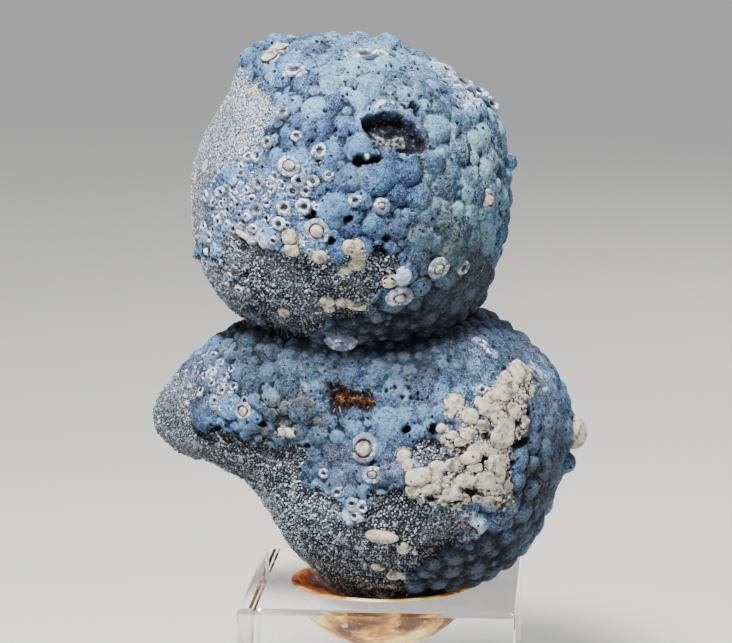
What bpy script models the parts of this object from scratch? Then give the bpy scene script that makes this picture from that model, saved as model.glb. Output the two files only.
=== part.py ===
# A blue botryoidal stone, two balls grown into one, sitting on a bed of amber wax
# in the round hollow of a clear block. Numbers are millimetres; meshes are made in metres.
# The stone is laid out in its own frame: x to the right, y away from the viewer, z up,
# origin in the middle of the block's underside, then turned about the upright.
import math
import bpy
import numpy as np
from mathutils import kdtree

mm = 0.001
gap = 0.3  # air left between pieces that touch

# clear block
block_side = 32.0
block_height = 20.0
block_bevel = 0.6
hollow_rim = 10.9  # radius of the hollow at the top face
hollow_radius = 12.2  # radius of the sphere it is cut with
hollow_chamfer = 0.25

# wax bed
bed_rim = 10.1  # radius where the bed stops, just inside the hollow's rim
seat_radius = 15.5  # hollow top of the bed that takes the stone
seat_drop = 4.0  # lowest point of the seat below the block's top face

# stone
stone_turn = 4.0  # degrees about the upright, block against stone
head_centre = (-4.0, 0.0, 66.0)
body_centre = (-3.0, 0.0, 37.0)
# each lobe: centre, half axes, tilt about y in degrees, width of its blend with the others
head_lobes = [
    ((-4.0, 0.0, 66.0), (18.4, 18.3, 18.3), 3, 0),
    ((-15.8, -1.0, 61.7), (3.7, 8.0, 8.6), -8, 5),
    ((-4.7, -1.0, 57.0), (14.8, 10.0, 5.2), 11, 5),
    ((-3.9, 0.0, 77.9), (12.7, 8.3, 3.2), 18, 5),
    ((3.8, 0.0, 71.1), (7.7, 6.8, 5.9), -14, 5),
]
body_lobes = [
    ((6.5, 0.0, 36.3), (14.2, 16.4, 16.2), -4, 0),
    ((-2.1, -1.0, 33.2), (12.5, 13.1, 13.7), -45, 5),
    ((4.4, 1.0, 43.0), (17.1, 14.3, 8.9), 17, 5),
    ((-18.6, -1.0, 40.8), (8.9, 7.7, 5.8), -9, 6),
    ((-10.2, 0.0, 43.4), (12.3, 11.7, 10.0), -22, 5),
    ((1.2, 0.0, 22.5), (7.7, 6.9, 5.3), 12, 5),
]
crust_rise = 0.8  # the blue crust stands this far above the bare quartz
dome_sizes = (1.9, 1.5, 1.15)  # radii of the lumps, largest first
dome_seed = 11
stone_voxel = 0.55
stone_triangles = 6900

# bare patches the crust leaves open: x, z, side (-1 front, 1 back), radius
bare_patches = [
    (-19.0, 77.0, -1, 5.0), (-20.0, 71.0, -1, 4.0), (-9.5, 56.5, -1, 6.2),
    (-15.5, 58.5, -1, 4.2), (-3.0, 54.5, -1, 3.8), (-26.0, 39.0, -1, 4.6),
    (-16.8, 36.0, -1, 4.2), (-11.0, 30.6, -1, 6.4), (-5.2, 26.9, -1, 6.0),
    (1.0, 31.0, -1, 5.0), (4.5, 24.5, -1, 3.0), (-12.0, 60.0, 1, 6.5),
    (4.0, 33.0, 1, 6.0), (-8.0, 27.0, 1, 7.0), (9.0, 76.0, 1, 4.0),
]
# nodules and pits big enough to show: x, z, side, half width, half height, slant, rise
marks = [
    (1.1, 75.0, -1, 2.9, 1.6, -32, -2.0), (-18.9, 58.4, -1, 0.9, 1.3, 0, -1.0),
    (-13.1, 82.6, -1, 1.6, 1.1, 30, 0.5), (-1.7, 83.0, -1, 1.5, 0.8, 0, 0.4),
    (-10.7, 71.3, -1, 1.2, 1.2, 0, 0.4), (-10.5, 62.6, -1, 1.0, 1.6, 0, 0.6),
    (-3.8, 61.0, -1, 1.2, 1.9, -15, 0.8), (-5.0, 55.2, -1, 2.6, 1.1, -5, 0.8),
    (1.4, 56.5, -1, 1.8, 1.8, 0, 0.5), (5.9, 59.6, -1, 1.4, 1.4, 0, 0.5),
    (11.9, 66.5, -1, 1.2, 1.5, 0, 0.4), (-15.3, 45.9, -1, 1.7, 1.5, 0, 0.6),
    (-16.1, 42.5, -1, 1.1, 1.1, 0, 0.4), (-11.4, 40.2, -1, 1.3, 1.0, 0, 0.5),
    (-3.7, 44.4, -1, 3.1, 1.6, -8, -0.9), (-2.3, 38.7, -1, 1.9, 1.9, 0, 0.6),
    (-1.5, 35.7, -1, 0.9, 0.8, 0, -0.8), (-5.7, 36.3, -1, 3.4, 2.4, -20, 0.7),
    (12.4, 46.0, -1, 3.2, 1.6, 30, 0.7), (8.8, 43.6, -1, 2.8, 1.6, 35, 0.8),
    (5.0, 40.0, -1, 2.6, 1.9, 30, 0.9), (4.6, 36.0, -1, 2.6, 1.6, -20, 0.9),
    (9.6, 35.2, -1, 2.6, 1.5, 0, 0.8), (8.3, 28.6, -1, 2.2, 1.0, 15, 0.6),
    (22.4, 37.6, -1, 1.3, 2.2, 0, 1.2), (21.8, 34.2, -1, 1.2, 1.3, 0, 0.9),
    (-0.3, 28.2, -1, 2.0, 0.9, 0, 1.0), (2.0, 26.7, -1, 1.0, 1.0, 0, 0.8),
    (13.9, 69.7, -1, 1.3, 1.3, 0, 0.8), (-16.0, 82.5, -1, 1.2, 1.2, 0, 0.6),
    (6.0, 70.0, 1, 2.4, 1.8, 20, -1.4), (-6.0, 45.0, 1, 2.6, 1.4, -30, 0.9),
    (10.0, 42.0, 1, 2.0, 1.4, 40, 0.9), (-2.0, 62.0, 1, 1.8, 1.8, 0, 0.8),
]


def turn_y(degrees):
    a = math.radians(degrees)
    return np.array([[math.cos(a), 0, math.sin(a)], [0, 1, 0], [-math.sin(a), 0, math.cos(a)]])


# The lobes as one rounded solid: below zero inside, about millimetres outside
def lobes_field(p, lobes):
    total = None
    for centre, radii, tilt, width in lobes:
        q = (p - np.array(centre)) @ turn_y(tilt)
        r = np.array(radii)
        k0 = np.linalg.norm(q / r, axis=-1)
        k1 = np.linalg.norm(q / (r * r), axis=-1)
        d = k0 * (k0 - 1) / np.maximum(k1, 1e-9)
        if total is None:
            total = d
        else:
            h = np.clip(0.5 + 0.5 * (d - total) / width, 0, 1)
            total = d * (1 - h) + total * h - width * h * (1 - h)
    return total


def lobes_normal(p, lobes):
    steps = np.eye(3) * 0.03
    n = np.stack([lobes_field(p + s, lobes) - lobes_field(p - s, lobes) for s in steps], -1)
    return n / np.linalg.norm(n, axis=1, keepdims=True)


# Walks in from outside along each direction until it meets the surface
def on_lobes(directions, centre, lobes):
    centre = np.array(centre)
    t = np.full(len(directions), 45.0)
    for _ in range(60):
        t -= 0.8 * lobes_field(centre + directions * t[:, None], lobes)
    return centre + directions * t[:, None]


# The point of the whole stone seen at x, z from the front (side -1) or the back (side 1)
def spots(rows):
    rows = np.array(rows, float)
    p = np.stack([rows[:, 0], rows[:, 2] * 40.0, rows[:, 1]], -1)
    best, nearest = p.copy(), np.full(len(p), 1e9)
    for _ in range(160):
        d = np.minimum(lobes_field(p, head_lobes), lobes_field(p, body_lobes))
        closer = np.abs(d) < nearest
        best[closer], nearest[closer] = p[closer], np.abs(d[closer])
        p[:, 1] -= rows[:, 2] * np.clip(d, -1, 4) * 0.8
    return best


def smooth(x):
    x = np.clip(x, 0, 1)
    return x * x * (3 - 2 * x)


wave_rng = np.random.default_rng(5)
wave_vectors = wave_rng.normal(size=(24, 3)) * 0.9
wave_phases = wave_rng.uniform(0, 2 * math.pi, 24)


def waviness(p):
    return np.sin(p @ wave_vectors.T + wave_phases).sum(1) / 5


# 0 on bare quartz, 1 on the blue crust
def crust_share(p):
    open_patch = np.full(len(p), 9.0)
    for centre, row in zip(spots(bare_patches), bare_patches):
        open_patch = np.minimum(open_patch, np.linalg.norm(p - centre, axis=1) - row[3])
    return smooth(0.5 + (open_patch + 0.7 * waviness(p)) / 0.9)


# Lumps packed over the surface: large ones first, smaller ones in the room left
def pack_domes(centre, lobes, seed):
    rng = np.random.default_rng(seed)
    count = 7000
    i = np.arange(count) + 0.5
    polar, turn = np.arccos(1 - 2 * i / count), i * math.pi * (1 + 5**0.5)
    directions = np.stack([np.cos(turn) * np.sin(polar), np.sin(turn) * np.sin(polar), np.cos(polar)], -1)
    points = on_lobes(directions, centre, lobes)
    places, sizes = np.zeros((0, 3)), np.zeros(0)
    for size in dome_sizes:
        for k in rng.permutation(count):
            r = size * rng.uniform(0.88, 1.12)
            if len(sizes) and (np.linalg.norm(places - points[k], axis=1) < 0.86 * (sizes + r)).any():
                continue
            if size == dome_sizes[0] and rng.random() < 0.55:
                continue
            places, sizes = np.vstack([places, points[k]]), np.append(sizes, r)
    return places, sizes


def dome_height(p, places, sizes):
    tree = kdtree.KDTree(len(places))
    for i, place in enumerate(places):
        tree.insert(place, i)
    tree.balance()
    height = np.zeros(len(p))
    for i, point in enumerate(p):
        for _, k, d in tree.find_n(point, 3):
            r = sizes[k]
            if d < r:
                cap = math.sqrt((1.1 * r) ** 2 - d * d) - 0.458 * r
                height[i] = max(height[i], cap)
    return height


def mark_height(p, normals):
    total = np.zeros(len(p))
    for centre, row in zip(spots(marks), marks):
        wide, high, slant, rise = row[3:]
        near = np.linalg.norm(p - centre, axis=1) < 2.2 * max(wide, high)
        if not near.any():
            continue
        # two axes in the surface, turned by the slant
        n = normals[near][np.linalg.norm(p[near] - centre, axis=1).argmin()]
        across = np.cross([0, 0, 1.0], n)
        across /= np.linalg.norm(across) * (1 if across[0] > 0 else -1)
        along = np.cross(n, across)
        along *= 1 if along[2] > 0 else -1
        a = math.radians(slant)
        u = (p[near] - centre) @ (across * math.cos(a) + along * math.sin(a)) / wide
        v = (p[near] - centre) @ (along * math.cos(a) - across * math.sin(a)) / high
        shape = np.clip(1 - (u * u + v * v), 0, 1)
        total[near] += rise * shape ** (0.5 if rise > 0 else 0.8)
    return total


# Height of whatever the stone must stay above, at this distance from the block's axis
def floor_height(r):
    seat = block_height - seat_drop + seat_radius - np.sqrt(seat_radius**2 - np.minimum(r, bed_rim) ** 2)
    return np.where(r < bed_rim, seat, block_height)


def lumpy_ball(name, centre, lobes, seed):
    bpy.ops.mesh.primitive_ico_sphere_add(subdivisions=6, radius=1.0)
    ball = bpy.context.object
    ball.name = name
    mesh = ball.data
    directions = np.empty(len(mesh.vertices) * 3)
    mesh.vertices.foreach_get("co", directions)
    directions = directions.reshape(-1, 3)
    directions /= np.linalg.norm(directions, axis=1, keepdims=True)
    p = on_lobes(directions, centre, lobes)
    n = lobes_normal(p, lobes)
    crust = crust_share(p)
    places, sizes = pack_domes(centre, lobes, seed)
    p = p + n * (crust * (crust_rise - 0.45 + dome_height(p, places, sizes)) + mark_height(p, n))[:, None]
    mesh.vertices.foreach_set("co", (p * mm).ravel())
    mesh.update()
    return ball


def settle_on_seat(mesh):
    p = np.empty(len(mesh.vertices) * 3)
    mesh.vertices.foreach_get("co", p)
    p = p.reshape(-1, 3) / mm
    floor = floor_height(np.hypot(p[:, 0], p[:, 1])) + gap
    p[:, 2] = np.maximum(p[:, 2], floor)
    mesh.vertices.foreach_set("co", (p * mm).ravel())
    mesh.update()


# Replaces an object's mesh by what its modifiers make of it
def bake_modifiers(obj):
    graph = bpy.context.evaluated_depsgraph_get()
    baked = bpy.data.meshes.new_from_object(obj.evaluated_get(graph))
    obj.modifiers.clear()
    obj.data = baked
    obj.data.name = obj.name
    return obj


def simple_material(name, colour, roughness, transmission=0.0, ior=1.5):
    material = bpy.data.materials.new(name)
    material.use_nodes = True
    shader = material.node_tree.nodes["Principled BSDF"]
    shader.inputs["Base Color"].default_value = (*colour, 1)
    shader.inputs["Roughness"].default_value = roughness
    shader.inputs["Metallic"].default_value = 0.0
    shader.inputs["Transmission Weight"].default_value = transmission
    shader.inputs["IOR"].default_value = ior
    material.diffuse_color = (*colour, 1)
    return material


def give(obj, material, smooth_faces=True):
    obj.data.materials.clear()
    obj.data.materials.append(material)
    obj.data.polygons.foreach_set("use_smooth", [smooth_faces] * len(obj.data.polygons))


# A profile of radius, height pairs turned about the upright, starting and ending on the axis
def lathe(name, profile, segments):
    vertices, faces = [], []
    rings = []
    for r, z in profile:
        if r < 1e-6:
            rings.append([len(vertices)])
            vertices.append((0, 0, z * mm))
            continue
        start = len(vertices)
        for k in range(segments):
            a = 2 * math.pi * k / segments
            vertices.append((r * math.cos(a) * mm, r * math.sin(a) * mm, z * mm))
        rings.append(list(range(start, start + segments)))
    for low, high in zip(rings, rings[1:]):
        for k in range(segments):
            j = (k + 1) % segments
            if len(low) == 1:
                faces.append((low[0], high[j], high[k]))
            elif len(high) == 1:
                faces.append((low[k], low[j], high[0]))
            else:
                faces.append((low[k], low[j], high[j], high[k]))
    mesh = bpy.data.meshes.new(name)
    mesh.from_pydata(vertices, [], faces)
    mesh.validate()
    obj = bpy.data.objects.new(name, mesh)
    bpy.context.collection.objects.link(obj)
    return obj


for old in list(bpy.data.objects):
    bpy.data.objects.remove(old, do_unlink=True)

# stone: both balls lumped, made one, thinned, turned and set on the seat
head = lumpy_ball("head", head_centre, head_lobes, dome_seed)
stone = lumpy_ball("shattuckite", body_centre, body_lobes, dome_seed + 1)
for obj in (head, stone):
    obj.select_set(True)
bpy.context.view_layer.objects.active = stone
bpy.ops.object.join()
voxels = stone.modifiers.new("one skin", "REMESH")
voxels.mode = "VOXEL"
voxels.voxel_size = stone_voxel * mm
bake_modifiers(stone)
count = sum(len(f.vertices) - 2 for f in stone.data.polygons)
thin = stone.modifiers.new("fewer faces", "DECIMATE")
thin.ratio = stone_triangles / count
bake_modifiers(stone)
turn = math.radians(stone_turn)
places = np.empty(len(stone.data.vertices) * 3)
stone.data.vertices.foreach_get("co", places)
places = places.reshape(-1, 3)
turned = np.stack(
    [
        places[:, 0] * math.cos(turn) - places[:, 1] * math.sin(turn),
        places[:, 0] * math.sin(turn) + places[:, 1] * math.cos(turn),
        places[:, 2],
    ],
    -1,
)
stone.data.vertices.foreach_set("co", turned.ravel())
settle_on_seat(stone.data)
give(stone, simple_material("shattuckite_crust", (0.16, 0.27, 0.46), 0.85))

# clear block with its hollow
bpy.ops.mesh.primitive_cube_add(size=1.0)
block = bpy.context.object
block.name = "display_block"
corner = np.array([v.co for v in block.data.vertices])
corner = (corner + [0, 0, 0.5]) * [block_side * mm, block_side * mm, block_height * mm]
block.data.vertices.foreach_set("co", corner.ravel())
bevel = block.modifiers.new("edge bevels", "BEVEL")
bevel.width = block_bevel * mm
bevel.segments = 2
bevel.limit_method = "ANGLE"
hollow_centre = block_height + math.sqrt(hollow_radius**2 - hollow_rim**2)
lowest = -math.pi / 2
top_angle = math.asin((block_height - hollow_chamfer - hollow_centre) / hollow_radius)
profile = []
for k in range(12):
    a = lowest + (top_angle - lowest) * k / 11
    profile.append((hollow_radius * math.cos(a) if k else 0, hollow_centre + hollow_radius * math.sin(a)))
profile.append((profile[-1][0] + hollow_chamfer * 2, block_height + hollow_chamfer))
profile.append((profile[-1][0], block_height + 4))
profile.append((0, block_height + 4))
cutter = lathe("hollow_cutter", profile, 48)
cut = block.modifiers.new("hollow", "BOOLEAN")
cut.operation = "DIFFERENCE"
cut.solver = "EXACT"
cut.object = cutter
bake_modifiers(block)
bpy.data.objects.remove(cutter, do_unlink=True)
give(block, simple_material("clear_acrylic", (0.95, 0.96, 0.97), 0.03, 1.0, 1.49), False)

# wax bed: the hollow's sphere less the gap below, the seat above, a blunt rim between
outer = hollow_radius - gap
bed_profile = []
low = hollow_centre - math.sqrt(outer**2 - bed_rim**2)
end = math.asin((low - hollow_centre) / outer)
for k in range(9):
    a = -math.pi / 2 + (end + math.pi / 2) * k / 8
    bed_profile.append((outer * math.cos(a) if k else 0, hollow_centre + outer * math.sin(a)))
seat_centre = block_height - seat_drop + seat_radius
start = math.asin(bed_rim / seat_radius)
for k in range(9):
    a = start * (8 - k) / 8
    bed_profile.append((seat_radius * math.sin(a) if k < 8 else 0, seat_centre - seat_radius * math.cos(a)))
bed = lathe("wax_bed", bed_profile, 40)
give(bed, simple_material("amber_wax", (0.75, 0.36, 0.12), 0.45, 0.6, 1.45))
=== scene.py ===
import math
import bpy
import bmesh
import numpy as np
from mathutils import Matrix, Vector, kdtree


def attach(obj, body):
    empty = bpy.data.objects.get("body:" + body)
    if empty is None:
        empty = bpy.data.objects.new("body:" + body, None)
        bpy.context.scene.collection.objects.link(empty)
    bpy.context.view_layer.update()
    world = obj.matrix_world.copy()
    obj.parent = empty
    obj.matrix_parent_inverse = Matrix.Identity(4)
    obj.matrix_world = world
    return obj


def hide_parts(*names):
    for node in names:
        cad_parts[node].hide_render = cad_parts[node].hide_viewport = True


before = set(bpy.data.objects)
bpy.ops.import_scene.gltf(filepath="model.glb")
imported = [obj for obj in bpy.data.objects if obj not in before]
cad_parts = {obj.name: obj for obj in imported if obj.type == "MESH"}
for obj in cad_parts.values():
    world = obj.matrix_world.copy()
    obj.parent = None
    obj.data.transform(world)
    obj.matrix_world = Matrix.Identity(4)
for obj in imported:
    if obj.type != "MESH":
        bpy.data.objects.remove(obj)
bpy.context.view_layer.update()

mm = 0.001

# The view that places below are read in: points of a 732 by 643 picture
photoView = {
    "width": 732, "height": 643, "focalPx": 3400.0, "distance": 400.0,
    "elevation": 9.0, "target": (-2.2, 0.0, 51.1), "turn": 4.0,
}
focal, middleX, middleY = photoView["focalPx"], photoView["width"] / 2, photoView["height"] / 2
pxSize = photoView["distance"] / focal  # mm a pixel at the stone's middle
elev = math.radians(photoView["elevation"])
forward = np.array([0, math.cos(elev), -math.sin(elev)])
upward = np.array([0, math.sin(elev), math.cos(elev)])
eye = np.array(photoView["target"]) - forward * photoView["distance"]

# The hollow in the block, in mm: height of the top face, depth, radius of the dish, its edge, gap under the stone
seat = {"top": 20.0, "depth": 4.0, "radius": 15.5, "edge": 10.1, "gap": 0.3}

# The stone's two grown-together balls as in the solids: centre, half axes, tilt, blend
headCentre = (-4.0, 0.0, 66.0)
bodyCentre = (-3.0, 0.0, 37.0)
headLobes = [
    ((-4.0, 0.0, 66.0), (18.4, 18.3, 18.3), 3, 0),
    ((-15.8, -1.0, 61.7), (3.7, 8.0, 8.6), -8, 5),
    ((-4.7, -1.0, 57.0), (14.8, 10.0, 5.2), 11, 5),
    ((-3.9, 0.0, 77.9), (12.7, 8.3, 3.2), 18, 5),
    ((3.8, 0.0, 71.1), (7.7, 6.8, 5.9), -14, 5),
]
bodyLobes = [
    ((6.5, 0.0, 36.3), (14.2, 16.4, 16.2), -4, 0),
    ((-2.1, -1.0, 33.2), (12.5, 13.1, 13.7), -45, 5),
    ((4.4, 1.0, 43.0), (17.1, 14.3, 8.9), 17, 5),
    ((-18.6, -1.0, 40.8), (8.9, 7.7, 5.8), -9, 6),
    ((-10.2, 0.0, 43.4), (12.3, 11.7, 10.0), -22, 5),
    ((1.2, 0.0, 22.5), (7.7, 6.9, 5.3), 12, 5),
]


# Height of the hollow's dish at a distance from its middle
def seatHeight(r):
    return seat["top"] - seat["depth"] + seat["radius"] - np.sqrt(seat["radius"] ** 2 - r * r)


def turnY(degrees):
    a = math.radians(degrees)
    return np.array([[math.cos(a), 0, math.sin(a)], [0, 1, 0], [-math.sin(a), 0, math.cos(a)]])


def lobesField(p, lobes):
    total = None
    for centre, radii, tilt, width in lobes:
        q = (p - np.array(centre)) @ turnY(tilt)
        r = np.array(radii)
        k0 = np.linalg.norm(q / r, axis=-1)
        d = k0 * (k0 - 1) / np.maximum(np.linalg.norm(q / (r * r), axis=-1), 1e-9)
        if total is None:
            total = d
        else:
            h = np.clip(0.5 + 0.5 * (d - total) / width, 0, 1)
            total = d * (1 - h) + total * h - width * h * (1 - h)
    return total


def lobesNormal(p, lobes):
    n = np.stack([lobesField(p + s, lobes) - lobesField(p - s, lobes) for s in np.eye(3) * 0.03], -1)
    return n / np.linalg.norm(n, axis=1, keepdims=True)


def onLobes(directions, centre, lobes):
    centre = np.array(centre)
    t = np.full(len(directions), 32.0)
    for _ in range(34):
        t -= 0.9 * lobesField(centre + directions * t[:, None], lobes)
    return centre + directions * t[:, None]


def stoneField(p):
    return np.minimum(lobesField(p, headLobes), lobesField(p, bodyLobes))


# Where the picture's points land on the smooth stone; a point just off the edge lands on the edge
def seen(points):
    points = np.array(points, float)
    d = forward + np.outer((points[:, 0] - middleX) / focal, [1, 0, 0])
    d -= np.outer((points[:, 1] - middleY) / focal, upward)
    d /= np.linalg.norm(d, axis=1, keepdims=True)
    t = np.full(len(d), photoView["distance"] - 50)
    best, nearest = eye + d * t[:, None], np.full(len(d), 1e9)
    for _ in range(150):
        p = eye + d * t[:, None]
        s = stoneField(p)
        closer = (np.abs(s) < nearest) & (nearest > 0.01)
        best[closer], nearest[closer] = p[closer], np.abs(s[closer])
        t += np.clip(s, -0.5, 6) * 0.8
    return best


# The same for the far side, given as x, z in millimetres
def behind(points):
    points = np.array(points, float)
    p = np.stack([points[:, 0], np.full(len(points), 40.0), points[:, 1]], -1)
    for _ in range(120):
        p[:, 1] -= np.clip(stoneField(p), -1, 4) * 0.8
    return p


# The other way round: where points of the stone lie in the picture
def inPicture(p):
    q = p - eye
    w = q @ forward
    return np.stack([middleX + focal * q[:, 0] / w, middleY - focal * (q @ upward) / w], -1)


def smooth(x):
    x = np.clip(x, 0, 1)
    return x * x * (3 - 2 * x)


def makeWaves(seed, count, pitch):
    rng = np.random.default_rng(seed)
    vectors = rng.normal(size=(count, 3)) * (2 * math.pi / pitch) * 0.6
    return vectors, rng.uniform(0, 2 * math.pi, count)


waves = {"broad": makeWaves(5, 24, 8.0), "middle": makeWaves(6, 26, 2.6), "fine": makeWaves(7, 28, 1.0)}


# A smooth random value about -1 to 1
def wave(p, name):
    vectors, phases = waves[name]
    return np.sin(p @ vectors.T + phases).sum(1) / math.sqrt(len(phases)) * 0.9


# Bare quartz showing through the crust: outlines in the picture, and how coarse the grains are
bareOutlines = {
    "facet": (0, [
        (237, 66), (250, 80), (264, 93), (278, 104), (279, 116), (270, 126), (264, 136), (256, 144), (252, 154),
        (243, 162), (233, 167), (222, 171), (217, 180), (209, 189), (205, 200), (204, 216), (203, 236), (198, 252),
        (184, 246), (180, 204), (182, 160), (190, 120), (208, 86), (226, 64)]),
    "headDruse": (1, [
        (225, 240), (234, 236), (244, 242), (257, 244), (271, 248), (282, 255), (302, 260), (325, 264), (339, 258),
        (348, 250), (368, 250), (384, 246), (398, 253), (396, 266), (385, 281), (376, 296), (367, 316), (348, 321),
        (328, 319), (318, 327), (307, 336), (288, 338), (273, 333), (258, 320), (247, 304), (241, 286), (226, 275),
        (222, 258)]),
    "bodyDruse": (1, [
        (200, 440), (208, 438), (220, 429), (235, 431), (247, 440), (271, 446), (295, 452), (313, 450), (304, 458),
        (301, 469), (307, 484), (322, 495), (337, 508), (349, 529), (367, 526), (376, 514), (373, 496), (394, 490),
        (415, 502), (445, 511), (472, 520), (484, 532), (463, 544), (445, 547), (433, 556), (415, 568), (406, 577),
        (409, 598), (403, 614), (370, 632), (320, 620), (262, 580), (225, 530), (200, 490), (178, 474)]),
    "tornGround": (0.75, [
        (192, 254), (210, 262), (224, 268), (232, 282), (243, 296), (250, 310), (262, 324), (246, 330), (222, 308),
        (200, 286), (190, 268)]),
    "creamBay": (1, [
        (409, 448), (423, 441), (436, 446), (445, 452), (451, 458), (440, 463), (428, 466), (415, 461)]),
    "nose": (0.35, [
        (186, 372), (193, 388), (190, 409), (196, 430), (208, 440), (205, 470), (186, 480), (160, 478), (138, 440),
        (140, 400), (160, 376)]),
}
bareBehind = [(-12, 60, 6.5), (4, 33, 6), (-8, 27, 7), (9, 76, 4), (-20, 40, 4)]
# Places where the lumps stay small: picture x, y, radius, largest lump in px
smallLumps = [
    (255, 195, 42, 7), (225, 220, 30, 5.5), (290, 215, 34, 7.5), (300, 120, 22, 9), (235, 320, 24, 6),
    (268, 150, 26, 7), (230, 370, 34, 6), (205, 380, 26, 5), (275, 405, 26, 8), (300, 350, 40, 8),
    (430, 350, 50, 8.5), (350, 400, 45, 9), (470, 360, 60, 8), (540, 400, 30, 8), (470, 440, 50, 7),
    (350, 350, 40, 8), (260, 70, 20, 8),
]
# Places where the crust lies flatter: picture x, y, radius, share of the full relief
flatAreas = [
    (480, 235, 42, 0.6), (470, 285, 42, 0.7), (455, 190, 30, 0.8), (430, 240, 30, 0.8), (520, 345, 40, 0.6),
    (500, 350, 50, 0.62), (440, 355, 50, 0.68), (390, 350, 50, 0.75), (330, 365, 50, 0.82), (400, 395, 40, 0.8),
    (560, 420, 40, 0.65), (540, 390, 40, 0.6), (470, 390, 40, 0.7), (560, 470, 40, 0.8), (205, 385, 40, 0.8),
    (255, 195, 40, 0.6), (225, 215, 40, 0.6), (300, 205, 30, 0.75), (340, 60, 30, 0.75), (330, 470, 30, 0.8),
]
# Lumps listed where they show best: picture x, y, radius
namedLumps = [
    (387, 45, 14), (277, 45, 13), (250, 58, 11), (349, 43, 14), (316, 41, 12), (398, 77, 12), (370, 86, 17),
    (407, 95, 12), (359, 100, 10), (386, 106, 13), (334, 102, 12), (314, 107, 13), (441, 109, 12), (438, 127, 15),
    (459, 92, 11), (472, 112, 13), (484, 132, 12), (461, 152, 14), (432, 163, 13), (350, 177, 14), (377, 179, 18),
    (409, 172, 14), (327, 170, 11), (336, 209, 16), (314, 192, 9), (358, 148, 14), (332, 152, 13), (420, 197, 14),
    (447, 188, 13), (470, 176, 11), (494, 162, 12), (508, 162, 10), (445, 222, 13), (472, 214, 11), (421, 237, 13),
    (398, 229, 12), (375, 226, 12), (420, 258, 12), (448, 252, 12), (475, 240, 12), (493, 256, 11), (420, 288, 12),
    (450, 279, 11), (470, 292, 12), (429, 317, 13), (402, 322, 11), (298, 120, 8), (287, 131, 8), (303, 138, 9),
    (492, 190, 9), (455, 305, 11), (380, 330, 10), (440, 330, 10), (365, 120, 11), (345, 125, 12), (405, 60, 10),
    (430, 75, 11), (446, 88, 9), (330, 70, 11), (390, 150, 10), (420, 145, 11), (398, 195, 11), (362, 200, 10),
    (250, 378, 14), (229, 360, 9), (250, 338, 14), (289, 387, 14), (307, 372, 11), (385, 423, 16), (355, 429, 9),
    (406, 417, 11), (424, 390, 14), (394, 387, 12), (379, 369, 12), (331, 453, 10), (313, 456, 9), (322, 470, 10),
    (337, 480, 12), (382, 474, 13), (520, 459, 13), (544, 468, 13), (532, 489, 12), (511, 507, 12), (544, 498, 11),
    (499, 522, 13), (526, 525, 10), (454, 555, 13), (433, 561, 12), (475, 564, 13), (415, 584, 12), (448, 588, 13),
    (487, 582, 12), (571, 463, 14), (550, 426, 12), (559, 402, 12), (532, 399, 10), (365, 475, 10), (395, 472, 9),
    (349, 492, 8), (268, 430, 8), (300, 432, 9), (405, 338, 9), (423, 334, 9), (372, 343, 8), (390, 345, 7),
    (415, 304, 9), (378, 318, 8), (462, 318, 9), (474, 308, 8), (345, 396, 9), (372, 412, 9), (440, 392, 10),
    (455, 376, 10), (475, 366, 10), (428, 372, 11), (410, 372, 10), (350, 372, 11), (330, 378, 9), (270, 352, 10),
    (284, 366, 10), (268, 372, 10), (240, 372, 9), (226, 344, 9), (272, 398, 9), (500, 342, 10), (486, 332, 9),
    (515, 356, 10), (532, 352, 9), (548, 378, 10), (556, 440, 10), (572, 410, 9),
]
# Lumps that stand out like balls: picture x, y, radius, how proud
proudLumps = [
    (388, 45, 13, 1), (277, 45, 13, 1), (250, 58, 11, 0.95), (349, 43, 12, 0.6), (511, 161, 12, 1),
    (501, 254, 9, 0.7), (571, 464, 14, 1.45), (199, 259, 9, 0.55), (387, 116, 13, 0.45), (316, 41, 11, 0.5),
    (424, 62, 9, 0.5), (561, 402, 10, 0.5), (545, 500, 11, 0.5),
]
# The large open cavity, outlined in the picture, and the pale crystals on its floor
cavityOutline = [
    (362, 122), (368, 117), (373, 115), (385, 114), (400, 115), (407, 121), (415, 127), (421, 135), (428, 142),
    (427, 148), (420, 151), (411, 153), (405, 153), (398, 151), (393, 151), (385, 147), (380, 143), (375, 139),
    (371, 136), (367, 132), (363, 127),
]
cavityFloor = [
    (376, 129), (383, 132), (390, 135), (397, 133), (401, 131), (407, 132), (411, 137), (410, 143), (403, 147),
    (397, 148), (390, 147), (385, 143), (380, 139), (377, 135),
]
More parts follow.
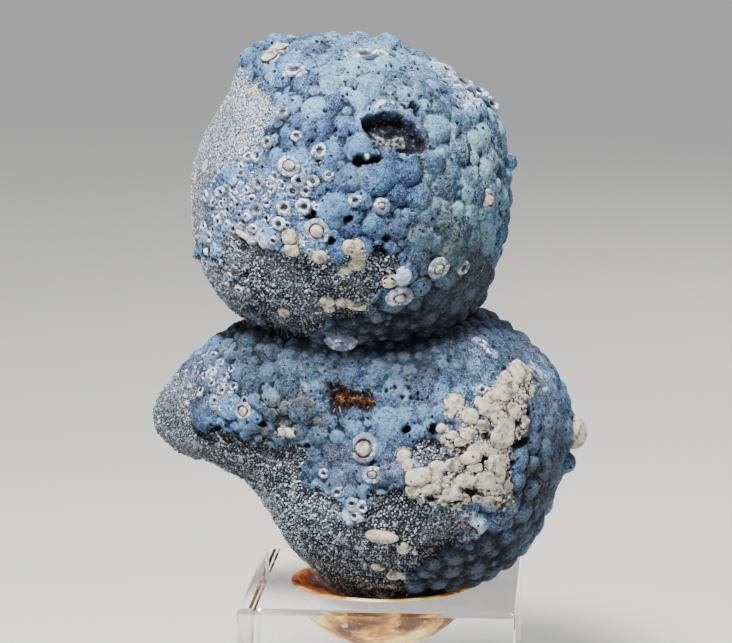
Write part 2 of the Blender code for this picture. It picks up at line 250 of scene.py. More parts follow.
# Pits: picture x, y, half width, half height, slant, depth in mm
pits = [
    (414, 108, 5.5, 5, -30, 1.2), (406, 108, 3.6, 2.2, 0, 0.8), (415, 115, 2.4, 4, 20, 0.8),
    (359, 161, 5, 5.5, 20, 1.3), (374, 160, 6, 4, 20, 1.2), (367, 162, 5, 2.6, 0, 0.8), (327, 190, 2, 2, 0, 0.4),
    (355, 88, 2.6, 2.6, 0, 0.6), (390, 67, 2.4, 2.4, 0, 0.5), (378, 75, 2.4, 2.4, 0, 0.5), (459, 109, 3, 3, 0, 0.7),
    (483, 124, 2.6, 2.6, 0, 0.6), (331, 241, 4, 4, 0, 0.9), (347, 95, 1.8, 1.8, 0, 0.4), (349, 219, 4.5, 3, 20, 0.9),
    (221, 271, 6, 6, 0, 1.6), (243, 277, 5, 4, 0, 0.9), (325, 111, 2.4, 2.4, 0, 0.5), (310, 215, 6, 5, 0, 1.1),
    (381, 250, 8, 4, -30, 1), (201, 436, 7, 4, -30, 1), (215, 429, 9, 2.6, 25, 0.7), (372, 476, 5, 4, 0, 1),
    (406, 429, 4.5, 3.6, 40, 1.2), (433, 429, 4, 5, 0, 1), (296, 95, 2.2, 2.2, 0, 0.4), (293, 97, 2.4, 2.4, 0, 0.5),
    (386, 240, 3.5, 3, 0, 0.8), (449, 359, 2.6, 2.6, 0, 0.5), (455, 397, 5, 2.4, 0, 0.8), (527, 412, 5, 3.4, 10, 1),
    (520, 442, 10, 3.2, 8, 1), (472, 489, 6, 5.5, 0, 1.2), (470, 498, 3.4, 4, 0, 0.9), (484, 437, 3.6, 3.6, 0, 0.9),
    (484, 459, 3.8, 2.6, 0, 0.9), (481, 466, 3.4, 3.2, 0, 0.9), (505, 476, 3, 3, 0, 0.7), (231, 362, 5, 3, 0, 0.7),
    (386, 391, 2.2, 2.2, 0, 0.5), (395, 388, 2.2, 2.2, 0, 0.5), (402, 397, 2.4, 2.4, 0, 0.5),
    (411, 398, 2.2, 2.2, 0, 0.5), (418, 394, 2.4, 2.4, 0, 0.5), (409, 387, 2, 2, 0, 0.4), (418, 399, 2, 2, 0, 0.4),
    (440, 359, 2.2, 2, 0, 0.5), (426, 371, 1.8, 1.8, 0, 0.4), (465, 368, 1.9, 1.9, 0, 0.4),
    (458, 370, 1.6, 1.6, 0, 0.3), (272, 134, 2.2, 2.2, 0, 0.4), (350, 135, 2.2, 2.2, 0, 0.4),
    (336, 130, 2.4, 2.4, 0, 0.5), (353, 135, 1.6, 1.6, 0, 0.4), (316, 131, 2.2, 2.2, 0, 0.4),
    (240, 237, 4, 3, 0, 0.8), (205, 255, 4, 5, 0, 0.9), (312, 141, 3, 2.4, 0, 0.6), (262, 425, 4, 3, 0, 0.8),
    (455, 499, 6, 3, 10, 0.8), (430, 498, 5, 3, 0, 0.7), (541, 468, 3, 5, 20, 0.8), (540, 490, 3, 5, 0, 0.8),
    (500, 470, 3, 3, 0, 0.6), (512, 463, 3, 3, 0, 0.6), (252, 211, 2.4, 2.4, 0, 0.5), (303, 68, 1.8, 1.8, 0, 0.4),
    (309, 73, 1.8, 1.8, 0, 0.4), (318, 74, 1.8, 1.8, 0, 0.4), (314, 67, 1.6, 1.6, 0, 0.4),
    (413, 74, 1.6, 1.6, 0, 0.4), (402, 90, 1.6, 1.6, 0, 0.4), (290, 126, 2, 2, 0, 0.4), (407, 155, 2, 2, 0, 0.4),
]
pitsBehind = [(6, 70, 2.4, 1.6, 20, 1.4), (-9, 74, 0.8, 0.8, 0, 0.9), (12, 44, 1.4, 0.8, 0, 1)]
# Broken crust edges and shell rims that stand up white: points of the picture, width px, rise mm
rims = [
    ([(430, 66), (446, 75), (462, 86)], 4, 0.3), ([(455, 88), (470, 92), (483, 99), (496, 108)], 5, 0.35),
    ([(448, 80), (463, 92), (478, 103)], 3, 0.25), ([(346, 56), (356, 60), (366, 57)], 4, 0.25),
    ([(372, 52), (384, 55), (386, 60)], 3, 0.25), ([(286, 76), (291, 70), (300, 69)], 4, 0.35),
    ([(298, 78), (306, 73)], 3.5, 0.25), ([(372, 108), (384, 104), (396, 107)], 4, 0.15),
    ([(322, 340), (333, 348), (345, 350), (356, 345), (360, 338)], 3, 0.35),
    ([(327, 334), (338, 330), (348, 333)], 3, 0.3), ([(481, 344), (488, 352), (497, 358)], 3, 0.35),
    ([(522, 366), (534, 376), (545, 390)], 3.5, 0.35), ([(530, 364), (540, 372)], 2.5, 0.25),
    ([(192, 442), (199, 452)], 3, 0.3),
]
# Colour washes: picture x, y, radius, strength
washes = {
    "teal": [
        (470, 170, 55, 0.9), (450, 235, 50, 0.9), (470, 285, 40, 0.8), (430, 310, 35, 0.7), (400, 80, 45, 0.6),
        (340, 60, 40, 0.5), (438, 127, 25, 0.7), (260, 335, 28, 0.8), (235, 350, 20, 0.5), (320, 360, 40, 0.4),
        (370, 88, 20, 0.6), (290, 395, 30, 0.5), (410, 330, 30, 0.6), (500, 220, 40, 0.6), (560, 470, 14, 0.5),
    ],
    "lilac": [
        (350, 177, 20, 0.7), (400, 235, 22, 0.7), (425, 265, 20, 0.6), (340, 210, 20, 0.4), (300, 120, 22, 0.4),
        (345, 475, 32, 0.9), (385, 475, 22, 0.9), (535, 440, 34, 0.8), (525, 490, 30, 0.6), (200, 385, 32, 0.7),
        (225, 215, 35, 0.5), (410, 130, 18, 0.8), (435, 330, 20, 0.3), (540, 400, 22, 0.6), (375, 160, 14, 0.5),
        (450, 445, 40, 0.3), (265, 175, 30, 0.4),
    ],
    "pale": [
        (255, 195, 38, 0.32), (300, 195, 26, 0.3), (370, 80, 50, 0.15), (330, 75, 38, 0.2), (215, 215, 26, 0.38),
        (230, 250, 30, 0.45), (205, 385, 26, 0.12), (230, 405, 22, 0.15), (195, 360, 20, 0.1), (490, 105, 18, 0.6),
        (480, 455, 45, 0.35), (500, 395, 30, 0.25), (215, 280, 26, 0.6), (450, 530, 26, 0.4), (500, 350, 22, 0.1),
        (340, 490, 22, 0.25), (500, 505, 22, 0.4), (220, 290, 26, 0.45), (445, 80, 18, 0.5), (310, 165, 14, 0.4),
        (325, 513, 14, 0.5), (354, 514, 13, 0.9), (435, 535, 18, 0.6), (470, 525, 20, 0.6), (362, 55, 16, 0.4),
        (222, 296, 22, 0.5), (245, 236, 14, 0.6), (262, 242, 12, 0.6), (400, 275, 10, 0.8), (470, 98, 20, 0.5),
    ],
    "deep": [  # where the blue is deeper
        (357, 180, 48, 0.75), (335, 160, 40, 0.6), (300, 160, 36, 0.5), (385, 205, 40, 0.7), (290, 215, 34, 0.6),
        (400, 240, 44, 0.6), (340, 225, 30, 0.6), (505, 342, 46, 1), (330, 360, 50, 0.6), (255, 365, 34, 0.5),
        (410, 350, 46, 0.7), (545, 410, 40, 0.5), (345, 470, 34, 0.6), (530, 470, 40, 0.5), (565, 440, 25, 0.5),
        (450, 130, 30, 0.3), (260, 80, 26, 0.3), (470, 385, 40, 0.4), (240, 390, 30, 0.4), (430, 310, 40, 0.6),
        (480, 265, 36, 0.5), (215, 385, 30, 0.5), (365, 130, 20, 0.3), (395, 445, 34, 0.4),
    ],
    "rust": [  # rust, and fainter olive or brown stains
        (342, 397, 9, 0.7), (356, 399, 7, 0.6), (419, 149, 5, 0.9), (425, 146, 3, 0.8), (364, 122, 3, 0.7),
        (467, 319, 7, 0.7), (515, 527, 4, 0.9), (533, 505, 4, 0.9), (464, 265, 4, 0.6), (366, 58, 4, 0.8),
        (500, 343, 4, 0.5), (465, 447, 4, 0.8), (486, 99, 4, 0.7), (476, 92, 3, 0.6), (258, 153, 4, 0.7),
        (321, 158, 4, 0.7), (410, 107, 3, 0.5),
    ],
    "stain": [
        (419, 232, 13, 0.9), (430, 246, 20, 0.5), (467, 319, 14, 0.9), (434, 190, 20, 0.4), (440, 222, 20, 0.6),
        (226, 329, 13, 0.8), (215, 341, 10, 0.7), (302, 404, 18, 1), (318, 420, 16, 0.9), (285, 426, 16, 0.9),
        (282, 412, 22, 0.8), (330, 446, 14, 0.7), (262, 436, 16, 0.8), (316, 160, 6, 0.8), (256, 160, 6, 0.7),
        (345, 352, 22, 0.4), (255, 350, 14, 0.4), (448, 404, 8, 0.6), (345, 386, 16, 0.6), (472, 268, 36, 0.75),
        (485, 288, 28, 0.9), (540, 485, 30, 0.9), (455, 245, 26, 0.75), (500, 470, 20, 0.3), (425, 320, 34, 0.5),
        (520, 520, 30, 0.5), (470, 545, 30, 0.6), (505, 338, 40, 0.3), (345, 468, 30, 0.3), (385, 345, 40, 0.4),
        (322, 398, 10, 0.6), (450, 318, 22, 0.5), (300, 428, 22, 0.7), (280, 380, 60, 0.45), (400, 372, 70, 0.38),
        (500, 370, 60, 0.38), (545, 430, 50, 0.5), (330, 400, 50, 0.45), (300, 408, 30, 0.7), (370, 430, 50, 0.25),
        (440, 300, 50, 0.55), (400, 320, 40, 0.6), (470, 290, 36, 0.8), (350, 335, 40, 0.5), (215, 380, 34, 0.3),
        (525, 500, 40, 0.5),
    ],
    "pins": [  # where pinholes crowd
        (500, 350, 45, 1), (440, 350, 40, 0.9), (400, 345, 30, 0.6), (545, 400, 30, 0.7), (350, 365, 30, 0.6),
        (300, 370, 30, 0.6), (255, 380, 30, 0.9), (285, 400, 25, 0.9), (320, 395, 20, 0.9), (280, 95, 25, 1),
        (300, 125, 30, 0.9), (265, 160, 30, 1), (240, 200, 35, 0.9), (300, 200, 30, 0.6), (340, 65, 20, 0.9),
        (370, 90, 40, 0.6), (420, 120, 30, 0.6), (330, 140, 25, 0.7), (215, 260, 20, 0.9), (490, 150, 20, 0.5),
        (560, 440, 30, 0.7), (470, 440, 40, 0.8), (440, 400, 30, 0.6), (500, 500, 30, 0.7), (530, 470, 30, 0.7),
        (470, 560, 40, 0.5), (200, 380, 25, 0.9), (230, 120, 40, 0.7), (165, 410, 30, 0.8), (480, 330, 40, 0.9),
    ],
    "shade": [  # painted shade: under ledges, in the neck, on undersides and other shaded parts
        (440, 318, 34, 0.6), (480, 285, 30, 0.5), (455, 575, 52, 0.85), (400, 590, 34, 0.7), (300, 425, 26, 0.3),
        (235, 440, 14, 0.5), (330, 338, 40, 0.5), (385, 335, 40, 0.7), (280, 285, 26, 0.08), (228, 272, 14, 0.4),
        (280, 410, 12, 0.4), (300, 405, 10, 0.5), (540, 520, 30, 0.4), (560, 460, 34, 0.4), (415, 565, 20, 0.6),
        (370, 350, 60, 0.35), (430, 520, 40, 0.3), (500, 250, 18, 0.3), (255, 360, 44, 0.4), (230, 345, 30, 0.35),
        (475, 590, 50, 0.8), (340, 470, 40, 0.25), (350, 180, 60, 0.15), (185, 430, 40, 0.35), (225, 460, 30, 0.3),
        (530, 440, 40, 0.3), (205, 300, 24, 0.4), (190, 375, 30, 0.4), (175, 400, 34, 0.35), (165, 440, 30, 0.4),
        (470, 575, 44, 0.95), (430, 585, 30, 0.9), (510, 560, 30, 0.8), (545, 510, 24, 0.55), (425, 318, 30, 0.85),
        (455, 305, 22, 0.7), (415, 350, 34, 0.88), (385, 355, 26, 0.6), (255, 352, 30, 0.6), (430, 345, 30, 0.6),
        (165, 415, 26, 0.45), (155, 440, 20, 0.5), (335, 466, 28, 0.5), (205, 385, 26, 0.35), (432, 440, 9, 0.6),
        (300, 330, 26, 0.6), (350, 325, 30, 0.7), (450, 572, 46, 1), (490, 562, 36, 1), (515, 505, 30, 0.6),
        (405, 350, 40, 0.8), (265, 355, 34, 0.6), (440, 352, 36, 0.5), (525, 470, 24, 0.25), (510, 338, 40, 0.4),
        (400, 512, 44, 0.42), (430, 535, 40, 0.35), (290, 500, 50, 0.18), (455, 262, 30, 0.3), (475, 275, 26, 0.75),
        (430, 600, 30, 1), (400, 336, 40, 0.97), (350, 334, 36, 0.9), (300, 446, 26, 0.45), (262, 438, 20, 0.5),
        (196, 175, 24, 0.4), (192, 215, 22, 0.35), (212, 120, 24, 0.25), (196, 260, 22, 0.4), (470, 300, 30, 0.6),
        (530, 530, 26, 0.8), (212, 380, 22, 0.3), (212, 441, 8, 0.9), (228, 438, 9, 0.95), (243, 444, 9, 0.9),
        (260, 449, 9, 0.85), (277, 453, 9, 0.85), (295, 456, 9, 0.8), (311, 456, 8, 0.7), (240, 246, 8, 0.7),
        (258, 251, 8, 0.6), (275, 257, 8, 0.6), (300, 267, 8, 0.6), (380, 253, 7, 0.8), (400, 310, 14, 0.8),
        (385, 322, 14, 0.9), (448, 292, 12, 0.5),
    ],
}
# The thick cream patch, outlined in the picture
creamOutline = [
    (496, 385), (502, 373), (514, 366), (528, 374), (533, 391), (521, 409), (524, 427), (514, 445), (508, 460),
    (512, 478), (515, 496), (503, 508), (487, 505), (475, 500), (456, 508), (433, 504), (412, 501), (406, 490),
    (415, 478), (433, 473), (452, 466), (462, 459), (447, 454), (439, 448), (444, 437), (466, 438), (478, 440),
    (462, 424), (446, 414), (448, 404), (463, 407), (481, 424), (490, 412), (488, 399),
]
# Cream nodules: picture x, y, half width, half height, slant, share of height
creamNodules = [
    (270, 58, 9, 8, 30, 0.45), (282, 49, 8, 4.5, 10, 0.35), (251, 93, 7, 9, -20, 0.3), (204, 167, 6, 8, -10, 0.35),
    (195, 178, 5, 7, 0, 0.3), (290, 237, 8, 8, 0, 0.8), (293, 250, 7.5, 6.5, 0, 0.7), (317, 230, 6, 6, 0, 0.8),
    (320, 255, 8, 6.5, 0, 0.6), (353, 247, 9, 8, 0, 0.7), (359, 256, 7.5, 8, 0, 0.7), (357, 266, 8.5, 6.5, 0, 0.6),
    (346, 272, 6, 5, 0, 0.45), (283, 315, 7, 6, 0, 0.7), (326, 304, 7, 7, 0, 0.6), (329, 312, 6, 5, 0, 0.5),
    (343, 305, 8, 6, 0, 0.65), (354, 308, 8, 6, -12, 0.65), (362, 310, 6, 5, 0, 0.5), (388, 281, 6, 5, 0, 0.5),
    (487, 199, 3.6, 7.5, -10, 0.6), (438, 267, 5, 5, 0, 0.8), (458, 268, 3, 3, 0, 0.6), (290, 166, 5, 4.5, 0, 0.6),
    (302, 242, 3, 3, 0, 0.7), (367, 158, 2.2, 3, 0, 1.2), (279, 52, 8, 6, 20, 0.45), (245, 410, 5, 5, 0, 0.6),
    (286, 432, 10, 5.5, -5, 0.6), (577, 435, 8.5, 16, -8, 1.5), (382, 537, 16, 7, -4, 0.75),
    (404, 550, 7.5, 7, 0, 0.8), (377, 567, 7, 6, 0, 0.6), (394, 574, 8, 6.5, 0, 0.65), (404, 576, 4, 7, 0, 0.5),
    (390, 586, 7, 4, 0, 0.4), (382, 597, 7, 4.5, -20, 0.5), (526, 546, 6, 5, 0, 0.7), (415, 554, 3, 4, 0, 0.4),
    (243, 234, 10, 2.8, -22, 0.6), (256, 238, 3, 3, 0, 0.5), (515, 373, 13, 9, 30, 0.5), (505, 379, 11, 6, 15, 0.5),
    (523, 378, 7, 6, 0, 0.5), (506, 391, 12, 7, 20, 0.5), (515, 396, 6, 5, 0, 0.5), (489, 406, 12, 8, 50, 0.5),
    (480, 402, 5, 5, 0, 0.4), (497, 416, 6, 7, 0, 0.5), (512, 413, 6.5, 6.5, 0, 0.7), (505, 426, 7.5, 6, 0, 0.6),
    (500, 439, 10.5, 7.5, 0, 0.6), (455, 404, 8.5, 7.5, 0, 0.7), (470, 416, 6.5, 6.5, 0, 0.6),
    (482, 425, 6, 4, 0, 0.4), (442, 428, 5, 5, 0, 0.8), (450, 437, 9, 5.5, 8, 0.6), (467, 434, 9, 7, 20, 0.6),
    (478, 449, 10, 6, 10, 0.5), (404, 455, 8, 7, 30, 0.7), (408, 466, 6, 7, 0, 0.6), (418, 477, 11, 7, 8, 0.6),
    (436, 470, 8.5, 7, 20, 0.6), (454, 464, 8, 5, 10, 0.5), (470, 458, 9, 5, 10, 0.5), (495, 463, 8, 8, 0, 0.6),
    (493, 452, 6, 5, 0, 0.5), (484, 479, 10, 7.5, 0, 0.6), (464, 480, 9, 5, 0, 0.5), (452, 493, 8, 6, 0, 0.65),
    (427, 488, 12, 4, -4, 0.45), (495, 490, 6, 4.5, 0, 0.5), (506, 487, 6, 4, 40, 0.5), (440, 481, 8, 4, 0, 0.4),
    (499, 475, 5, 6, 0, 0.5), (488, 391, 5, 4, 30, 0.4), (460, 442, 5, 3, 0, 0.4), (476, 498, 4, 3, 0, 0.4),
    (486, 500, 7, 3.4, 10, 0.4), (474, 467, 6, 4, 0, 0.4),
]
creamBehind = [
    (-2, 62, 1.6), (0.6, 61, 1), (-6, 45, 1.9), (-3.5, 43.8, 1.3), (10, 42, 1.5), (-14, 66, 1.1), (3, 80, 1.2),
    (14, 34, 1.3), (-12, 36, 1),
]
# Ringed nodules, a button in a raised ring: picture x, y, button radius, ring half width, half height, height in mm
ringNodules = [
    (365, 449, 7.5, 14, 14, 0.8), (399, 295, 5.5, 14, 12, 0.6), (438, 267, 5, 11.5, 11, 0.6),
    (290, 166, 5.5, 11, 10, 0.5), (317, 230, 6, 12, 12, 0.5), (382, 206, 2.6, 7.5, 7.5, 0.6),
    (244, 410, 4.5, 8.5, 8.5, 0.6), (488, 200, 4, 8.5, 11, 0.6), (373, 474, 4.5, 10, 8, 0.5),
]
# Torn open cups: picture x, y, half width, half height, slant, height in mm
craters = [
    (341, 338, 16, 10, 0, 1), (341, 337, 9, 5.5, 0, 1.6), (268, 143, 6.5, 6.5, 0, 0.7), (257, 156, 6, 7.5, 20, 0.7),
    (275, 176, 6.5, 5, -30, 0.5), (299, 180, 8, 7.5, 0, 0.7), (313, 182, 6.5, 6, 0, 0.7), (293, 192, 8, 7, 0, 0.6),
    (306, 191, 6.5, 5.5, 0, 0.6), (305, 206, 8.5, 8, 0, 0.7), (285, 207, 8.5, 8, 0, 0.5), (257, 209, 7, 8, 0, 0.7),
    (267, 202, 6, 5, 0, 0.6), (243, 221, 7, 6, 0, 0.6), (217, 221, 6, 7, 0, 0.6), (279, 224, 8, 7, 0, 0.6),
    (221, 193, 7, 6, 0, 0.7), (231, 201, 6, 7, 30, 0.7), (275, 239, 6, 5, 0, 0.5), (285, 113, 8, 7, 0, 0.6),
    (298, 137, 7, 5.5, 0, 0.5), (320, 151, 8, 8, 40, 0.6), (258, 184, 8, 7, 0, 0.5), (246, 190, 5, 5, 0, 0.5),
    (232, 187, 6, 5, 0, 0.5), (216, 205, 5.5, 5, 0, 0.6), (226, 210, 5, 5, 0, 0.6), (356, 200, 7, 6, 0, 0.5),
    (240, 208, 5, 5, 0, 0.5), (272, 190, 5, 5, 0, 0.5), (250, 197, 4.5, 4.5, 0, 0.5), (283, 186, 5, 4.5, 0, 0.5),
    (207, 196, 5, 6, 0, 0.5), (232, 229, 5, 5, 0, 0.5), (254, 228, 5, 4.5, 0, 0.5), (265, 218, 5, 4.5, 0, 0.5),
    (210, 237, 5, 6, 0, 0.5), (204, 225, 4.5, 5, 0, 0.5), (365, 57, 17, 6.5, 4, 0.8), (297, 72, 13, 7, 14, 0.6),
    (444, 72, 13, 5, -34, 0.7), (461, 86, 12, 6.5, -38, 0.8), (476, 96, 11, 6.5, -35, 0.9),
    (489, 107, 9, 6.5, -40, 0.9), (463, 267, 7.5, 8, 0, 0.7), (394, 273, 6, 4.5, 20, 0.6), (213, 356, 5, 5, 0, 0.6),
    (221, 363, 6, 5.5, 0, 0.6), (213, 371, 6, 5.5, 0, 0.6), (224, 377, 6, 6, 0, 0.6), (211, 384, 5.5, 5, 0, 0.6),
    (222, 391, 6, 5.5, 0, 0.6), (204, 376, 5, 5, 0, 0.6), (231, 368, 5, 5, 0, 0.5), (200, 389, 5, 5, 0, 0.5),
    (216, 400, 6, 5, 0, 0.5), (195, 372, 5, 5, 0, 0.5), (234, 386, 5, 5, 0, 0.5), (352, 503, 6, 5.5, 0, 0.6),
    (363, 507, 6.5, 6, 0, 0.6), (355, 515, 6, 5, 0, 0.5), (338, 492, 6.5, 6, 0, 0.6), (325, 473, 6, 5, 0, 0.5),
    (482, 344, 9, 4.5, -38, 0.6), (490, 353, 7, 4, -45, 0.5), (533, 375, 12, 3.4, -52, 0.6), (482, 391, 6, 5, 0, 0.5),
    (300, 452, 6, 4.5, 0, 0.4), (221, 275, 8, 8, 0, 0.5), (203, 262, 7, 8, 0, 0.4),
]
# Areas thick with tiny white-mouthed tubes: picture x, y, radius, how many
tubeAreas = [
    (255, 195, 26, 40), (228, 190, 22, 40), (290, 205, 24, 20), (250, 165, 16, 16), (312, 190, 22, 10),
    (235, 220, 24, 40), (275, 226, 22, 20), (210, 270, 20, 30), (228, 300, 18, 26), (205, 385, 26, 34),
    (228, 400, 18, 24), (195, 362, 18, 22), (336, 496, 16, 8), (300, 240, 20, 8), (268, 128, 16, 8),
]


# How far, in px, points of the picture lie outside an outline drawn there
def outside(spots, outline):
    a = np.array(outline, float)
    b = np.roll(a, -1, axis=0)
    x, y = spots[:, 0], spots[:, 1]
    inner, nearest = np.zeros(len(spots), bool), np.full(len(spots), 1e9)
    for (ax, ay), (bx, by) in zip(a, b):
        inner ^= ((ay > y) != (by > y)) & (x < (bx - ax) * (y - ay) / ((by - ay) or 1e-9) + ax)
        t = np.clip(((x - ax) * (bx - ax) + (y - ay) * (by - ay)) / ((bx - ax) ** 2 + (by - ay) ** 2), 0, 1)
        nearest = np.minimum(nearest, np.hypot(x - ax - t * (bx - ax), y - ay - t * (by - ay)))
    return np.where(inner, -nearest, nearest)


# Raises values to at least another, at some vertices or at all
def atLeast(values, other, near=slice(None)):
    values[near] = np.maximum(values[near], other)


# Two axes in the surface at a normal, across and up, turned by a slant
def surfaceAxes(n, slant):
    across = np.cross([0, 0, 1.0], n)
    across /= max(np.linalg.norm(across), 1e-6)
    if n[1] > 0:
        across = -across
    along = np.cross(n, across)
    along *= 1 if along[2] > 0 else -1
    a = math.radians(slant)
    return across * math.cos(a) + along * math.sin(a), along * math.cos(a) - across * math.sin(a)


# A cube's grid blown up to a sphere; its centre leans so that the side toward the picture is finer
def sphereGrid(n, lean):
    t = np.tan(np.linspace(-math.pi / 4, math.pi / 4, n + 1))
    a, b = np.meshgrid(t, t, indexing="ij")
    one = np.ones_like(a)
    sides = [(one, a, b), (-one, b, a), (b, one, a), (a, -one, b), (a, b, one), (b, a, -one)]
    corners, quads = [], []
    for i, side in enumerate(sides):
        corners.append(np.stack(side, -1).reshape(-1, 3))
        k = np.arange((n + 1) ** 2).reshape(n + 1, n + 1) + i * (n + 1) ** 2
        quads.append(np.stack([k[:-1, :-1], k[1:, :-1], k[1:, 1:], k[:-1, 1:]], -1).reshape(-1, 4))
    points = np.vstack(corners)
    points /= np.linalg.norm(points, axis=1, keepdims=True)
    _, first, index = np.unique(np.round(points * 1e5).astype(int), axis=0, return_index=True, return_inverse=True)
    points, quads = points[first], index.reshape(-1)[np.vstack(quads)]
    points = points + np.array(lean)
    return points / np.linalg.norm(points, axis=1, keepdims=True), quads


def intoWorld(p):
    a = math.radians(photoView["turn"])
    return np.stack([p[:, 0] * math.cos(a) - p[:, 1] * math.sin(a),
                     p[:, 0] * math.sin(a) + p[:, 1] * math.cos(a), p[:, 2]], -1)


def newObject(name, data):
    obj = bpy.data.objects.new(name, data)
    bpy.context.scene.collection.objects.link(obj)
    return obj


def newMesh(name, points, faces):
    mesh = bpy.data.meshes.new(name)
    points, faces = np.asarray(points, np.float32), np.asarray(faces)
    mesh.vertices.add(len(points))
    mesh.vertices.foreach_set("co", points.ravel())
    mesh.loops.add(faces.size)
    mesh.loops.foreach_set("vertex_index", faces.astype(np.int32).ravel())
    mesh.polygons.add(len(faces))
    mesh.polygons.foreach_set("loop_start", np.arange(len(faces), dtype=np.int32) * faces.shape[1])
    mesh.polygons.foreach_set("use_smooth", np.full(len(faces), True))
    mesh.update(calc_edges=True)
    return newObject(name, mesh)


def addValue(obj, name, values):
    layer = obj.data.attributes.new(name, "FLOAT", "POINT")
    layer.data.foreach_set("value", np.asarray(values, np.float32))


# Heights in mm; a grid of 127 quads a side makes 193,548 triangles
stoneSettings = {
    "grid": 127, "crustRise": 0.34, "lumpSteepness": 1.38, "quartzRoughness": 0.09, "sunkBy": 0.42, "crustEdge": 0.45,
}
# Radii in mm with the share of places tried at each size, and how close two lumps may come
lumpSettings = {
    "candidates": 12000, "largest": 1.75, "closeness": 0.80,
    "sizes": ((1.65, 0.5), (1.3, 0.8), (1.0, 1.0), (0.75, 1.0), (0.52, 1.0)),
}
maskNames = ("teal", "lilac", "pale", "rust", "stain", "pins", "shade", "recessShade", "cream", "green", "hollow", "deep")


def onBall(spot, lobes):
    return abs(lobesField(spot[None], lobes)[0]) <= 0.4


# Lumps packed on a ball: those listed first, then ever smaller ones in the room left
def packLumps(centre, lobes, seed):
    rng = np.random.default_rng(seed)
    count = lumpSettings["candidates"]
    i = np.arange(count) + 0.5
    polar, turn = np.arccos(1 - 2 * i / count), i * math.pi * (1 + 5**0.5)
    directions = np.stack([np.cos(turn) * np.sin(polar), np.sin(turn) * np.sin(polar), np.cos(polar)], -1)
    points = onLobes(directions, centre, lobes)
    largest = np.full(count, lumpSettings["largest"])
    for spot, row in zip(seen(smallLumps), smallLumps):
        if onBall(spot, lobes):
            inside = np.linalg.norm(points - spot, axis=1) < row[2] * pxSize
            largest[inside] = np.minimum(largest[inside], row[3] * pxSize)
    places, sizes = np.zeros((6000, 3)), np.zeros(6000)
    named = seen(namedLumps)
    own = np.abs(lobesField(named, lobes)) < 0.15
    made = own.sum()
    places[:made], sizes[:made] = named[own], np.array(namedLumps)[own, 2] * pxSize * 1.06
    for size, share in lumpSettings["sizes"]:
        for k in rng.permutation(count):
            r = size * rng.uniform(0.86, 1.14)
            if r > largest[k] or rng.random() > share:
                continue
            d = np.linalg.norm(places[:made] - points[k], axis=1)
            if made and (d < lumpSettings["closeness"] * (sizes[:made] + r)).any():
                continue
            places[made], sizes[made] = points[k], r
            made += 1
    return places[:made], sizes[:made], rng.random(made)


